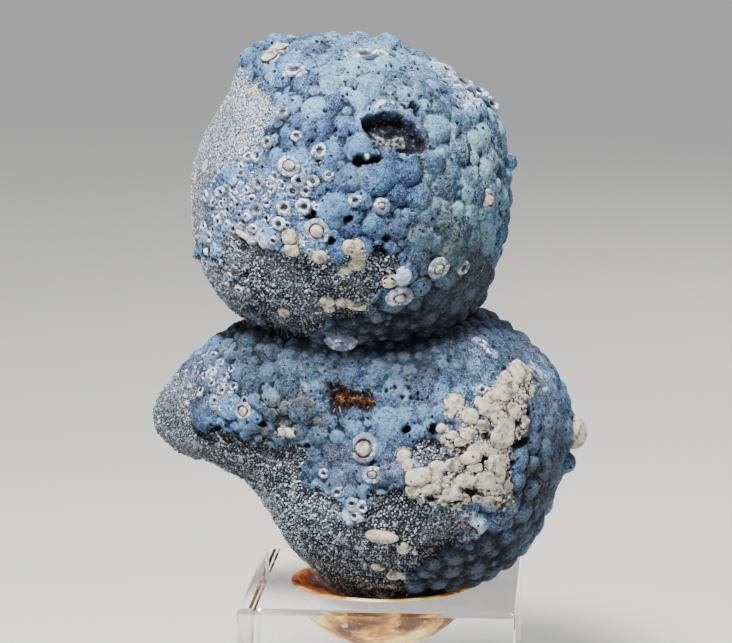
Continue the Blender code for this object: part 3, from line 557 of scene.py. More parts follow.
# One of the stone's two balls while it is shaped: vertices, their heights over the smooth form, colour masks
class Ball:
    def __init__(self, centre, lobes, seed, lean):
        self.centre, self.lobes, self.seed = centre, lobes, seed
        directions, self.quads = sphereGrid(stoneSettings["grid"], lean)
        self.base = onLobes(directions, centre, lobes)
        self.normals = lobesNormal(self.base, lobes)
        self.facing = self.normals @ forward
        self.spots = inPicture(self.base)
        self.broad, self.middle, self.fine = (wave(self.base, k) for k in ("broad", "middle", "fine"))
        self.finest = wave(self.base * 2.2, "fine")
        self.tree = kdtree.KDTree(len(self.base))
        for i, p in enumerate(self.base):
            self.tree.insert(p, i)
        self.tree.balance()
        self.mask = {k: np.zeros(len(self.base)) for k in maskNames}
        self.showQuartz()
        self.layWashes()
        self.shape()

    def near(self, place, radius):
        found = self.tree.find_range(place, radius)
        return np.array([f[1] for f in found], int), np.array([f[2] for f in found])

    # Goes through oval marks: the row, the vertices near it, and their distance as a share of its size
    def ovals(self, rows, places, unit):
        for row, centre in zip(rows, places):
            wide, high = row[2] * unit, row[3] * unit
            near, d = self.near(centre, 1.6 * max(wide, high))
            if len(near):
                u, v = surfaceAxes(self.normals[near[d.argmin()]], row[4])
                q = self.base[near] - centre
                yield row, near, np.sqrt((q @ u / wide) ** 2 + (q @ v / high) ** 2)

    # Distance in mm outside an outline in the picture, far off on the side that it doesn't show
    def beyond(self, outline, start, width):
        return outside(self.spots, outline) * pxSize + 9 * smooth((self.facing + start) / width)

    # Crust is 0 on bare quartz, 1 elsewhere; the edge wanders and has small bays. Also where grains are coarse
    def showQuartz(self):
        openPatch, self.coarse = np.full(len(self.base), 9.0), np.ones(len(self.base))
        for grade, outline in bareOutlines.values():
            d = self.beyond(outline, -0.45, 0.35)
            self.coarse[d < openPatch] = grade
            openPatch = np.minimum(openPatch, d)
        ragged = 1.9 * self.broad + 0.6 * self.middle
        for centre, row in zip(behind(bareBehind), bareBehind):
            openPatch = np.minimum(openPatch, np.linalg.norm(self.base - centre, axis=1) - row[2] + ragged)
        wander = 0.30 * self.broad + 0.45 * self.middle + 0.28 * self.fine
        self.crust = smooth(0.5 + (openPatch + wander) / (stoneSettings["crustEdge"] + 1.3 * (1 - self.coarse)))

    # Broad washes are laid on as seen in the picture, small ones round their place
    def layWashes(self):
        turnedAway = 40 * smooth((self.facing + 0.25) / 0.4)
        for kind, rows in washes.items():
            for spot, (x, y, r, strength) in zip(seen(rows), rows):
                if r > 19:
                    d = np.hypot(self.spots[:, 0] - x, self.spots[:, 1] - y) + turnedAway
                    atLeast(self.mask[kind], smooth((1.25 - d / r) / 0.75) * strength)
                    continue
                near, d = self.near(spot, r * pxSize * 1.25)
                share = smooth((1.25 - d / (r * pxSize)) / (0.75 if r > 12 else 0.45)) * strength
                atLeast(self.mask[kind], share, near)
        mask, base = self.mask, self.base
        backside = smooth((self.normals[:, 1] + 0.1) * 2)
        atLeast(mask["teal"], backside * smooth(self.broad * 0.9))
        atLeast(mask["lilac"], backside * smooth(-self.broad * 0.8) * 0.6)
        atLeast(mask["pale"], 0.35 * smooth(wave(base + 31, "broad") * 1.1 - 0.1))
        atLeast(mask["pins"], 0.3 + 0.4 * smooth(wave(base + 57, "broad")))
        atLeast(mask["stain"], backside * 0.6 * smooth(wave(base + 83, "broad") * 1.5 - 0.9))
        atLeast(mask["deep"], 0.2 + 0.4 * smooth(wave(base + 11, "broad")) * backside)
        # painted shade in the neck where the two balls meet, and on surfaces that face down
        other = bodyLobes if self.lobes is headLobes else headLobes
        atLeast(mask["shade"], smooth(1 - lobesField(base, other) / 6.5) * 0.95)
        atLeast(mask["shade"], smooth((-self.normals[:, 2] - 0.30) / 0.55) * 0.80)

    # Lumps: their height, how near each vertex is to a crest, and each lump's own tint
    def raiseLumps(self):
        places, sizes, tints = packLumps(self.centre, self.lobes, self.seed)
        self.lumps = len(sizes)
        steep = stoneSettings["lumpSteepness"]
        sunk = math.sqrt(steep**2 - 1)
        lump, crest, self.tint = np.zeros(len(self.base)), np.zeros(len(self.base)), np.full(len(self.base), 0.5)

        def raiseOne(near, cap, peak, shade):
            higher = cap > lump[near]
            ids = near[higher]
            lump[ids], crest[ids], self.tint[ids] = cap[higher], cap[higher] / peak, shade

        for place, r, shade in zip(places, sizes, tints):
            near, d = self.near(place, r * 1.15)
            d = d * (1 + 0.13 * self.middle[near] + 0.05 * self.fine[near])
            cap = np.sqrt(np.maximum((steep * r) ** 2 - d * d, 0)) - sunk * r
            cap *= 0.75 + 0.5 * shade if r < 0.9 else 0.85 + 0.3 * shade
            raiseOne(near, cap, (steep - sunk) * r, shade)
        for spot, (_, _, r, share) in zip(seen(proudLumps), proudLumps):
            near, d = self.near(spot, r * pxSize)
            raiseOne(near, share * np.sqrt(np.maximum((r * pxSize) ** 2 - d * d, 0)), share * r * pxSize, 0.6)
        relief = np.ones(len(self.base))
        for spot, (_, _, r, share) in zip(seen(flatAreas), flatAreas):
            if onBall(spot, self.lobes):
                near, d = self.near(spot, r * pxSize * 1.2)
                flat = 1 - (1 - share) * smooth((1.2 - d / (r * pxSize)) / 0.5)
                relief[near] = np.minimum(relief[near], flat)
        self.crest = 1 - (1 - crest) * relief**0.7
        return lump * relief

    # White rims standing up along paths in the picture
    def raiseRims(self):
        rim = np.zeros(len(self.base))
        for path, width, rise in rims:
            path = np.array(path, float)
            steps = np.vstack([a + (b - a) * k / 14 for a, b in zip(path, path[1:]) for k in range(14)])
            for j, spot in enumerate(seen(steps)):
                r = width * pxSize * (0.55 + 0.35 * math.sin(j * 0.9 + path[0, 0]) ** 2)
                near, d = self.near(spot, r)
                atLeast(rim, rise * np.sqrt(np.clip(1 - (d / r) ** 2, 0, 1)), near)
        atLeast(self.mask["pale"], smooth(rim * 4 + 0.3 * self.fine * (rim > 0.02)))
        return rim * (0.7 + 0.45 * self.fine)

    # Pits, the hollows under torn cups, the large cavity with its crystals, and the pits behind, each sunk and
    # painted dark as shade
    def sinkPits(self, height):
        mask, middle, fine, finest = self.mask, self.middle, self.fine, self.finest
        for (_, _, wide, _, _, depth), near, q in self.ovals(pits, seen(pits), pxSize):
            q = q + min(0.25, 0.05 * wide) * (fine[near] + 0.6 * finest[near])
            edge = 0.6 / max(wide, 2.0) + 0.05
            height[near] -= depth * smooth((1.1 - q) / (edge + 0.2))
            atLeast(mask["recessShade"], smooth((1.12 - q) / edge), near)
        for _, near, q in self.ovals(craters, seen(craters), pxSize * 0.5):
            height[near] -= 0.25 * smooth(1.5 - q)
            atLeast(mask["recessShade"], smooth((1.1 - q) / 0.4) * 0.95, near)
        cavity = self.beyond(cavityOutline, 0.2, 0.3)
        hollow = smooth(0.5 - (cavity + 0.08 * fine) / 0.30)
        height[:] = height * (1 - hollow) + hollow * (-1.25 + 0.15 * middle + 0.10 * fine)
        mask["hollow"] = smooth(0.5 - (cavity + 0.06 * fine - 0.12) / 0.22)
        atLeast(mask["recessShade"], mask["hollow"])
        mask["green"] = smooth(0.5 - (self.beyond(cavityFloor, 0.2, 0.3) + 0.10 * fine) / 0.25)
        height += mask["green"] * (0.30 + 0.16 * fine)
        for row, near, q in self.ovals(pitsBehind, behind(pitsBehind), 1):
            q = q + 0.30 * fine[near] + 0.2 * middle[near]
            height[near] -= row[5] * smooth((1.15 - q) / 0.5)
            atLeast(mask["recessShade"], smooth((1.2 - q) / 0.35), near)

    def shape(self):
        crust, coarse, middle, fine, finest = self.crust, self.coarse, self.middle, self.fine, self.finest
        lump = self.raiseLumps()
        height = crust * (stoneSettings["crustRise"] + lump + 0.05 * fine + 0.03 * finest)
        jagged = stoneSettings["quartzRoughness"] * np.random.default_rng(self.seed).normal(size=len(height)) * 0.5
        height += (1 - crust) * coarse * (jagged + 0.10 * middle + 0.06 * fine)
        height += (1 - crust) * (1 - coarse) * (0.34 + 0.04 * middle + 0.025 * finest)
        patch = smooth(0.5 - (self.beyond(creamOutline, -0.15, 0.35) + (0.22 * middle + 0.14 * fine)) / 0.3)
        height += crust * patch * (0.36 - 0.5 * lump + 0.08 * finest)
        atLeast(self.mask["cream"], patch * 0.8)
        # painted shade along the crust's edge, where it overhangs the bare quartz
        ledgeShade = smooth(1 - np.abs(crust - 0.25) / 0.25) * coarse * smooth(0.6 + 0.7 * middle)
        atLeast(self.mask["shade"], ledgeShade * 0.85)
        height += self.raiseRims()
        self.sinkPits(height)
        for _, near, q in self.ovals(creamNodules, seen(creamNodules), pxSize * 1.15):
            atLeast(self.mask["cream"], smooth((1.2 - q) / 0.3), near)
        self.height = height - stoneSettings["sunkBy"] * smooth((self.base[:, 2] - 23) / 5)

    # Place and normal on the finished surface next to a place on the smooth one
    def surface(self, spot, share=1.0):
        k = self.tree.find(spot)[1]
        return self.base[k] + self.normals[k] * (self.height[k] * share), self.normals[k]

    # The mesh; its underside takes the seat's shape
    def build(self, name):
        world = intoWorld(self.base + self.normals * self.height[:, None])
        r = np.hypot(world[:, 0], world[:, 1])
        floor = np.where(r < seat["edge"], seatHeight(np.minimum(r, seat["edge"])), seat["top"])
        world[:, 2] = np.maximum(world[:, 2], floor + seat["gap"])
        obj = newMesh(name, world * mm, self.quads)
        painted = {k: np.clip(v, 0, 1) for k, v in self.mask.items()}
        painted.update(
            crust=self.crust, coarse=self.coarse, crest=self.crest * self.crust, tint=self.tint,
            druse=smooth(1.2 - 2.2 * self.crust) * self.coarse,
            frost=smooth(1.3 - 1.8 * self.crust) * (1 - self.coarse))
        for k, v in painted.items():
            addValue(obj, k, v)
        print("made", name, len(world), "vertices", self.lumps, "lumps")
        return obj


headBall = Ball(headCentre, headLobes, 21, (0, -0.25, 0.02))
bodyBall = Ball(bodyCentre, bodyLobes, 22, (-0.1, -0.22, 0.0))
head, body = headBall.build("stoneHead"), bodyBall.build("stoneBody")


def ballAt(spot):
    return min((headBall, bodyBall), key=lambda ball: abs(lobesField(spot[None], ball.lobes)[0]))


# Where picture points land on the finished, lumpy stone: places and normals
def onStone(points):
    places, normals = zip(*(ballAt(spot).surface(spot) for spot in seen(points)))
    return np.array(places), np.array(normals)


# Links a (node, output) pair to a socket, or sets the socket to a plain value
def feed(tree, socket, v):
    if isinstance(v, tuple) and isinstance(v[0], bpy.types.Node):
        tree.links.new(v[0].outputs[v[1]], socket)
    else:
        socket.default_value = (*v, 1) if isinstance(v, tuple) and socket.type == "RGBA" else v


def addNode(tree, kind, inputs=None, **settings):
    node = tree.nodes.new(kind)
    for k, v in settings.items():
        setattr(node, k, v)
    for k, v in (inputs or {}).items():
        feed(tree, node.inputs[k], v)
    return node


# A material while it is made. Each step gives a (node, output) pair for the next
class Paint:
    def __init__(self, name):
        self.material = bpy.data.materials.new(name)
        self.material.use_nodes = True
        self.tree = self.material.node_tree
        self.shader = self.tree.nodes["Principled BSDF"]
        self.where = None

    def texture(self, kind, inputs, **settings):
        self.where = self.where or (addNode(self.tree, "ShaderNodeTexCoord"), "Object")
        return addNode(self.tree, kind, {"Vector": self.where, **inputs}, **settings)

    def noise(self, scale, detail=2.0, rough=0.6):
        return self.texture("ShaderNodeTexNoise", {"Scale": scale, "Detail": detail, "Roughness": rough}), "Fac"

    # Gives the node itself: both its colour and its distance are of use
    def cells(self, scale):
        return self.texture("ShaderNodeTexVoronoi", {"Scale": scale}, feature="F1")

    def read(self, name):
        return addNode(self.tree, "ShaderNodeAttribute", attribute_name=name), "Fac"

    def calc(self, kind, a, b, clamp=False):
        return addNode(self.tree, "ShaderNodeMath", {0: a, 1: b}, operation=kind, use_clamp=clamp), "Value"

    def add(self, a, b, clamp=False):
        return self.calc("ADD", a, b, clamp)

    def times(self, a, b, clamp=False):
        return self.calc("MULTIPLY", a, b, clamp)

    # A noise's swing about its middle
    def swing(self, a, share):
        return self.times(self.calc("SUBTRACT", a, 0.5), share)

    def ramp(self, factor, *stops):
        node = addNode(self.tree, "ShaderNodeValToRGB", {"Fac": factor})
        elements = node.color_ramp.elements
        while len(elements) < len(stops):
            elements.new(0.5)
        for element, (place, colour) in zip(elements, stops):
            element.position = place
            element.color = (*colour, 1) if isinstance(colour, tuple) else (colour, colour, colour, 1)
        return node, "Color"

    def over(self, factor, a, b, kind="MIX"):
        node = self.tree.nodes.new("ShaderNodeMix")
        node.data_type, node.blend_type, node.clamp_factor = "RGBA", kind, True
        for k, v in ((0, factor), (6, a), (7, b)):
            feed(self.tree, node.inputs[k], v)
        return node, 2

    # Relief is (height, strength, distance in metres); other values go by the shader's names, _ for a space
    def finish(self, colour, relief=None, **values):
        if relief:
            inputs = dict(zip(("Height", "Strength", "Distance"), relief))
            values["Normal"] = addNode(self.tree, "ShaderNodeBump", inputs), "Normal"
        for k, v in {"Base_Color": colour, **values}.items():
            feed(self.tree, self.shader.inputs[k.replace("_", " ")], v)
        return self.material


skinColours = {
    "deepBlue": (0.006, 0.022, 0.072), "blue": (0.031, 0.091, 0.200), "lightBlue": (0.165, 0.340, 0.555),
    "deepTeal": (0.012, 0.036, 0.050), "teal": (0.058, 0.140, 0.182), "lightTeal": (0.185, 0.360, 0.420),
    "deepLilac": (0.022, 0.025, 0.075), "lilac": (0.098, 0.110, 0.195), "dust": (0.500, 0.590, 0.720),
    "haze": (0.150, 0.138, 0.125), "stainDark": (0.010, 0.010, 0.009), "stain": (0.110, 0.112, 0.098),
    "quartzMiddle": (0.090, 0.102, 0.128), "quartzDeep": (0.035, 0.040, 0.050), "quartzGapShade": (0.005, 0.006, 0.009),
    "pepper": (0.010, 0.014, 0.026), "grey": (0.060, 0.084, 0.128), "paleGrey": (0.210, 0.255, 0.330),
    "salt": (0.640, 0.720, 0.810), "frost": (0.60, 0.63, 0.68),
    "cream": (0.600, 0.575, 0.475), "creamShade": (0.210, 0.200, 0.160), "deepen": (0.42, 0.59, 0.75),
    "paintedShadeDark": (0.004, 0.005, 0.007), "paintedShade": (0.013, 0.016, 0.023), "paintedShadeLit": (0.050, 0.062, 0.088),
    "rust": (0.105, 0.034, 0.016), "rustDark": (0.016, 0.007, 0.005), "holeShade": (0.003, 0.003, 0.006),
    "wall": (0.012, 0.010, 0.022), "wallLight": (0.085, 0.082, 0.125),
    "floorDark": (0.012, 0.014, 0.014), "floor": (0.085, 0.100, 0.105), "floorLight": (0.320, 0.360, 0.350),
}

# How fine each noise is, in features a metre
skinScales = {"fine": 6000, "grain": 2300, "medium": 850, "broad": 220, "pinholes": 1350, "quartz": 2900}


# The stone's skin: masks painted on the mesh choose between the minerals, fine noise gives each its grain
def stoneSkin():
    c, scale, s = skinColours, skinScales, Paint("shattuckiteSkin")
    add, times, swing, stops, over = s.add, s.times, s.swing, s.ramp, s.over
    crust, crest, tint, coarse = (s.read(k) for k in ("crust", "crest", "tint", "coarse"))
    mask = {k: s.read(k) for k in maskNames}
    fine, grain = s.noise(scale["fine"], 3, 0.65), s.noise(scale["grain"], 3, 0.62)
    medium, broad = s.noise(scale["medium"], 3), s.noise(scale["broad"], 3, 0.55)
    # crust colour: each lump's tint plus noise
    level = add(add(times(tint, 0.20), times(medium, 0.44)), add(times(grain, 0.42), times(fine, 0.31)))
    blue = stops(level, (0.54, c["deepBlue"]), (0.66, c["blue"]), (0.82, c["lightBlue"]))
    teal = stops(level, (0.54, c["deepTeal"]), (0.66, c["teal"]), (0.82, c["lightTeal"]))
    lilac = stops(level, (0.50, c["deepLilac"]), (0.68, c["lilac"]), (0.84, c["lightBlue"]))
    tealShare = times(add(mask["teal"], swing(broad, 1.6), True), add(times(tint, 0.6), 0.6), True)
    colour = over(tealShare, blue, teal)
    colour = over(times(mask["lilac"], add(medium, 0.25), True), colour, lilac)
    stained = times(mask["stain"], stops(medium, (0.40, 0.15), (0.56, 1.0)))
    colour = over(stained, colour, stops(grain, (0.38, c["stainDark"]), (0.62, c["stain"])))
    colour = over(mask["deep"], colour, c["deepen"], "MULTIPLY")
    colour = over(0.035, colour, c["haze"])
    # dust: white specks, thicker where painted; painted shade in the gaps between lumps; a pale line along some
    # creases, partly dust and partly painted sheen
    speck = times(stops(fine, (0.50, 0.0), (0.64, 1.0)), add(times(mask["pale"], 0.9), 0.17), True)
    colour = over(speck, colour, c["dust"])
    clump = stops(add(times(mask["pale"], 0.8), grain), (0.86, 0.0), (1.12, 1.0))
    colour = over(times(clump, 0.8), colour, c["dust"])
    gap = stops(add(crest, swing(grain, 0.5)), (0.0, 0.14), (0.14, 0.48), (0.42, 1.0))
    colour = over(1.0, colour, gap, "MULTIPLY")
    dustAndSheenSeam = stops(crest, (0.04, 0.0), (0.12, 1.0), (0.22, 1.0), (0.36, 0.0))
    dustAndSheenSeam = times(times(dustAndSheenSeam, add(tealShare, 0.15)), stops(medium, (0.46, 0.0), (0.60, 0.55)))
    colour = over(dustAndSheenSeam, colour, c["dust"])
    # pinholes: painted shade, near black, in tiny holes
    holes = s.cells(scale["pinholes"])
    holeSize = times(add(times(mask["pins"], 0.30), (holes, "Color")), 0.8)
    holeSize = times(stops(holeSize, (0.50, 0.0), (0.74, 1.0)), 0.30)
    hole = s.calc("LESS_THAN", add((holes, "Distance"), swing(fine, 0.45)), holeSize)
    colour = over(times(hole, 0.93), colour, c["holeShade"])
    # bare quartz: painted shade between the coarse grains, salt and pepper where fine
    warped = add((s.cells(scale["quartz"]), "Distance"), swing(fine, 0.5))
    quartz = stops(warped, (0.16, c["quartzMiddle"]), (0.42, c["quartzDeep"]), (0.66, c["quartzGapShade"]))
    salt = stops(add(times(fine, 0.70), times(grain, 0.30)),
                 (0.45, c["pepper"]), (0.49, c["grey"]), (0.53, c["paleGrey"]), (0.575, c["salt"]))
    quartz = over(coarse, salt, quartz)
    frost = times(mask["pale"], stops(grain, (0.42, 0.0), (0.60, 1.0)))
    quartz = over(times(frost, 0.8), quartz, c["frost"])
    share = stops(add(crust, swing(grain, 1.9)), (0.42, 0.0), (0.56, 1.0))
    colour = over(share, quartz, colour)
    # cream, rust, painted shade in pits, cups and the cavity, and painted shade under ledges, in the neck and on
    # undersides
    crack = stops(add(crest, swing(medium, 0.9)), (0.10, 0.0), (0.26, 1.0))
    creamShare = times(stops(add(mask["cream"], swing(grain, 1.1)), (0.50, 0.0), (0.66, 1.0)), crack)
    colour = over(creamShare, colour, stops(grain, (0.40, c["holeShade"]), (0.50, c["creamShade"]), (0.62, c["cream"])))
    rusty = stops(times(mask["rust"], add(grain, 0.35)), (0.30, 0.0), (0.50, 1.0))
    colour = over(rusty, colour, stops(fine, (0.38, c["rustDark"]), (0.62, c["rust"])))
    # painted shade: pits and cups near black, the cavity's walls dark
    wall = stops(grain, (0.40, c["holeShade"]), (0.56, c["wall"]), (0.66, c["wallLight"]))
    colour = over(mask["recessShade"], colour, over(mask["hollow"], c["holeShade"], wall))
    floor = stops(grain, (0.38, c["floorDark"]), (0.50, c["floor"]), (0.62, c["floorLight"]))
    colour = over(mask["green"], colour, floor)
    # painted shade where the shade mask lies: near black, with painted highlights on the lump crests
    paintedShade = stops(add(times(crest, 0.6), times(grain, 0.9)),
                  (0.55, c["paintedShadeDark"]), (0.85, c["paintedShade"]), (1.20, c["paintedShadeLit"]))
    colour = over(times(mask["shade"], 0.96), colour, paintedShade)
    # relief: velvet on crust, grains on quartz
    velvet = add(times(fine, 0.30), times(grain, 0.80))
    stones = s.calc("SUBTRACT", 1.0, times(warped, add(times(coarse, 0.7), 0.3)))
    relief = over(times(hole, 0.9), over(share, stones, velvet), (0.0, 0.0, 0.0))
    return s.finish(
        colour, (relief, 1.0, 0.00036), Roughness=stops(share, (0.0, 0.55), (1.0, 0.88)),
        Specular_IOR_Level=0.12, Sheen_Weight=0.03, Sheen_Roughness=0.5)


skin = stoneSkin()
for ball in (head, body):
    ball.data.materials.append(skin)


def quartzMaterial():
    s = Paint("quartzGrain")
    colour = s.ramp(s.noise(3600), (0.41, (0.026, 0.032, 0.045)), (0.50, (0.165, 0.192, 0.240)),
                    (0.61, (0.76, 0.82, 0.89)))
    colour = s.over(s.ramp(s.noise(180, 2, 0.5), (0.4, 0.0), (0.6, 0.35)), colour, (0.22, 0.27, 0.36))
    colour = s.over(s.read("coarse"), colour, (0.96, 0.98, 1.0), "MULTIPLY")
    # the grains take the stone's painted shade
    colour = s.over(s.times(s.read("shade"), 0.9), colour, (0.014, 0.016, 0.021))
    return s.finish(colour, Roughness=0.32, Specular_IOR_Level=0.5)


def creamMaterial():
    s = Paint("creamNodule")
    fine, torn = s.noise(5200), s.noise(2600)
    footShade, ring = s.read("footShade"), s.read("ring")
    colour = s.ramp(s.noise(1100, 4), (0.38, (0.11, 0.105, 0.085)), (0.48, (0.35, 0.335, 0.265)),
                    (0.64, (0.54, 0.51, 0.395)))
    colour = s.over(s.ramp(fine, (0.55, 0.0), (0.75, 0.5)), colour, (0.30, 0.29, 0.25))
    # dark dots: painted shade in small holes in the cream
    dots = s.cells(900)
    dotSize = s.times(s.ramp((dots, "Color"), (0.50, 0.0), (0.75, 1.0)), 0.19)
    dot = s.calc("LESS_THAN", (dots, "Distance"), dotSize)
    colour = s.over(s.times(dot, 0.9), colour, (0.02, 0.018, 0.014))
    # painted shade at the foot of each piece and in grooves and cup hollows
    colour = s.over(s.ramp(footShade, (0.30, 0.0), (0.90, 0.95)), colour, (0.035, 0.036, 0.040))
    # on torn shells blue-grey shows wherever the white is thin
    thin = s.times(s.read("torn"), s.calc("SUBTRACT", 1.0, footShade))
    shell = s.over(thin, colour, (0.085, 0.125, 0.21))
    colour = s.over(s.ramp(s.read("button"), (0.4, 0.0), (0.6, 1.0)), shell, colour)
    pale = s.ramp(torn, (0.38, (0.09, 0.14, 0.25)), (0.48, (0.34, 0.41, 0.53)), (0.58, (0.68, 0.72, 0.77)))
    colour = s.over(s.ramp(s.add(ring, s.times(torn, 0.5)), (0.55, 0.0), (0.95, 1.0)), colour, pale)
    return s.finish(colour, (fine, 0.5, 0.00012), Roughness=0.62, Specular_IOR_Level=0.4)


quartz = quartzMaterial()
cream = creamMaterial()

# Crumb sizes in px; nodules in the cream patch become plates, stretched by so much and pressed flat
noduleSettings = {
    "seed": 51, "crumbs": 230, "crumbSmallest": 1.2, "crumbLargest": 4.2, "plateStretch": 1.22, "platePress": 0.44,
}


# Oval nodules grown on the stone: round caps outside the cream patch, flat fused plates and crumbs in it
def makeNodules():
    shapes = {}
    for level in (2, 3, 4):
        sphere = bmesh.new()
        bmesh.ops.create_icosphere(sphere, subdivisions=level, radius=1.0)
        shapes[level] = (np.array([v.co for v in sphere.verts]),
                         np.array([[v.index for v in f.verts] for f in sphere.faces]))
        sphere.free()
    rng = np.random.default_rng(noduleSettings["seed"])
    low, high = noduleSettings["crumbSmallest"], noduleSettings["crumbLargest"]
    spots = np.stack([rng.uniform(404, 530, 6000), rng.uniform(364, 508, 6000)], -1)
    spots = spots[outside(spots, creamOutline) < -0.5 + 2.5 * rng.random(6000)][:noduleSettings["crumbs"]]
    crumbs = []
    for x, y in spots:
        r = low + (high - low) * rng.random() ** 2
        crumbs.append((x, y, r, r * rng.uniform(0.7, 1.0), rng.uniform(0, 180), 0.8))
    marks = creamNodules + crumbs
    # rows of half width, half height, slant, share of height, whether a plate
    rows = []
    inPatch = outside(np.array(marks)[:, :2], creamOutline) < 3
    for j, ((_, _, wide, high, slant, share), flat) in enumerate(zip(marks, inPatch)):
        crumb = j >= len(creamNodules)
        plate = flat and not crumb
        stretch, press = (noduleSettings["plateStretch"], noduleSettings["platePress"]) if plate else (1, 0.8)
        rows.append((wide * pxSize * stretch, high * pxSize * stretch, slant, share * press, plate))
    grounds = list(zip(*onStone(marks)))
    for spot, row in zip(behind(creamBehind), creamBehind):
        grounds.append(ballAt(spot).surface(spot, 0.5))
        rows.append((row[2], row[2] * 0.8, 20, 0.6, False))
    points, faces, footShades, start = [], [], [], 0
    for j, ((place, n), (wide, high, slant, share, flat)) in enumerate(zip(grounds, rows)):
        size = max(wide, high)
        unit, tris = shapes[4 if size > 0.75 and flat else 3 if size > 0.5 else 2]
        u, v = surfaceAxes(n, slant)
        tall = share * (wide + high) / 2
        swell = 1 + 0.12 * wave(unit * 1.1 + j * 3.7, "middle") + 0.05 * wave(unit * 1.6 + j, "fine")
        if flat:
            swell += 0.08 * wave(unit * 2.4 + j * 1.9, "middle") + 0.03 * wave(unit * 3.5 + j, "fine")
        p = unit * swell[:, None]
        boxy = np.sign(p) * np.abs(p) ** (np.array([0.85, 0.85, 0.62]) if flat else 0.92)
        q = place + np.outer(boxy[:, 0] * wide, u) + np.outer(boxy[:, 1] * high, v) + np.outer(boxy[:, 2] * tall, n)
        points.append(q + n * tall * 0.12)
        # painted shade, darker toward each nodule's underside where it meets the stone
        footShades.append(smooth(0.55 - unit[:, 2] * 1.1) * (0.75 if flat else 1))
        faces.append(tris + start)
        start += len(unit)
    obj = newMesh("creamNodules", intoWorld(np.vstack(points)) * mm, np.vstack(faces))
    for k, values in (("footShade", np.concatenate(footShades)), ("ring", np.zeros(start)), ("torn", np.zeros(start)),
                      ("button", np.ones(start))):
        addValue(obj, k, values)
    obj.data.materials.append(cream)
    return obj


standAbove = 86  # per cent of the vertices round a piece that lie lower than its foot


# How far to lift a piece so that it stands level with the lumps round it
def liftTo(place, n, radius):
    lifts = []
    for ball in (headBall, bodyBall):
        near, _ = ball.near(place - n * 0.4, radius * 1.3)
        if len(near):
            points = ball.base[near] + ball.normals[near] * ball.height[near, None]
            lifts.append(np.percentile((points - place) @ n, standAbove))
    return max(lifts) if lifts else 0.0


# Triangles between rings of vertices that follow each other; a ring of one is a pole
def bridge(rings, inward=False):
    faces = []
    for a, b in zip(rings, rings[1:]):
        count = max(len(a), len(b))
        for k in range(count):
            k2 = (k + 1) % count
            if len(a) == 1:
                made = [(a[0], b[k], b[k2])]
            elif len(b) == 1:
                made = [(a[k], b[0], a[k2])]
            else:
                made = [(a[k], b[k], b[k2]), (a[k], b[k2], a[k2])]
            faces += [tri[::-1] for tri in made] if inward else made
    return faces


# Moves points a little, the same way for the same place
def shaken(points, pitch):
    return points + 0.05 * np.stack([wave(points * pitch + k, "fine") for k in (0, 40, 80)], -1)


# Turned profiles laid on the stone with wandering outlines: buttons in raised rings, and torn open cups.
# A profile row is radius share, height share, painted shade in grooves, hollows and at the foot, whiteness
def turnedPieces(name, rows, profileOf, segments, rough):
    points, faces, values = [], [], {"footShade": [], "ring": [], "button": []}
    for j, (place, n, row) in enumerate(zip(*onStone(rows), rows)):
        wide, high, slant, tall, white, buttonShare, profile = profileOf(row)
        toward = -n @ forward
        if toward < 0.6:
            n = n - forward * (0.75 - toward) * 1.5
            n /= np.linalg.norm(n)
        place = place + n * liftTo(place, n, max(wide, high))
        u, v = surfaceAxes(n, slant)
        rings = []
        for share, h, footShade, pale in profile:
            turns = [0.0] if share == 0 else [2 * math.pi * k / segments for k in range(segments)]
            around = np.array([(1.6 * math.cos(a), 1.6 * math.sin(a), 5.0 * j) for a in turns])
            outward = smooth(share * 1.6 - 0.6)
            wander = 1 + outward * (0.09 * wave(around * 0.42, "middle") + rough * 0.4 * wave(around * 0.9, "fine"))
            drop = 0.30 * wave(around * 0.5 + 9, "middle") + outward * rough * 1.4 * wave(around * 1.4 + 9, "fine")
            swing = np.clip(1.3 * wave(around * 0.8 + 5, "middle") + 0.8 * wave(around * 2 + 3, "fine"), -1, 1)
            rings.append(list(range(len(points), len(points) + len(turns))))
            for a, w, d in zip(turns, wander, drop):
                flat = u * math.cos(a) * wide + v * math.sin(a) * high
                points.append(place + flat * share * w + n * (h * tall + d * min(share, 0.8) * tall * 0.7))
            values["footShade"] += [footShade] * len(turns)
            values["ring"] += list(pale * (white + 0.40 * swing))
            values["button"] += [float(share < buttonShare)] * len(turns)
        faces += bridge(rings)
    obj = newMesh(name, intoWorld(shaken(np.array(points), 2.0)) * mm, np.array(faces))
    for k, v in {**values, "torn": np.ones(len(points))}.items():
        addValue(obj, k, v)
    obj.data.materials.append(cream)
    return obj


def ringProfile(row):
    _, _, button, wide, high, tall = row
    b = button / wide
    return wide * pxSize, high * pxSize, 0, tall, 0.70, b * 1.02, [
        (0.0, 0.66, 0, 0), (b * 0.5, 0.62, 0, 0), (b * 0.84, 0.44, 0.1, 0), (b, 0.12, 0.7, 0),
        (b * 1.05, -0.25, 1, 0), (b * 1.2, -0.25, 1, 0), (b * 1.26, 0.12, 0.5, 0.6), (b * 0.8 + 0.30, 0.26, 0, 1),
        (b * 0.55 + 0.42, 0.24, 0, 0.9), (b * 0.35 + 0.62, 0.16, 0.2, 0.8), (0.95, 0.06, 0.2, 0.75),
        (1.05, -0.25, 0.4, 0.6), (0.7, -1.1, 1, 0), (0.0, -1.2, 1, 0)]


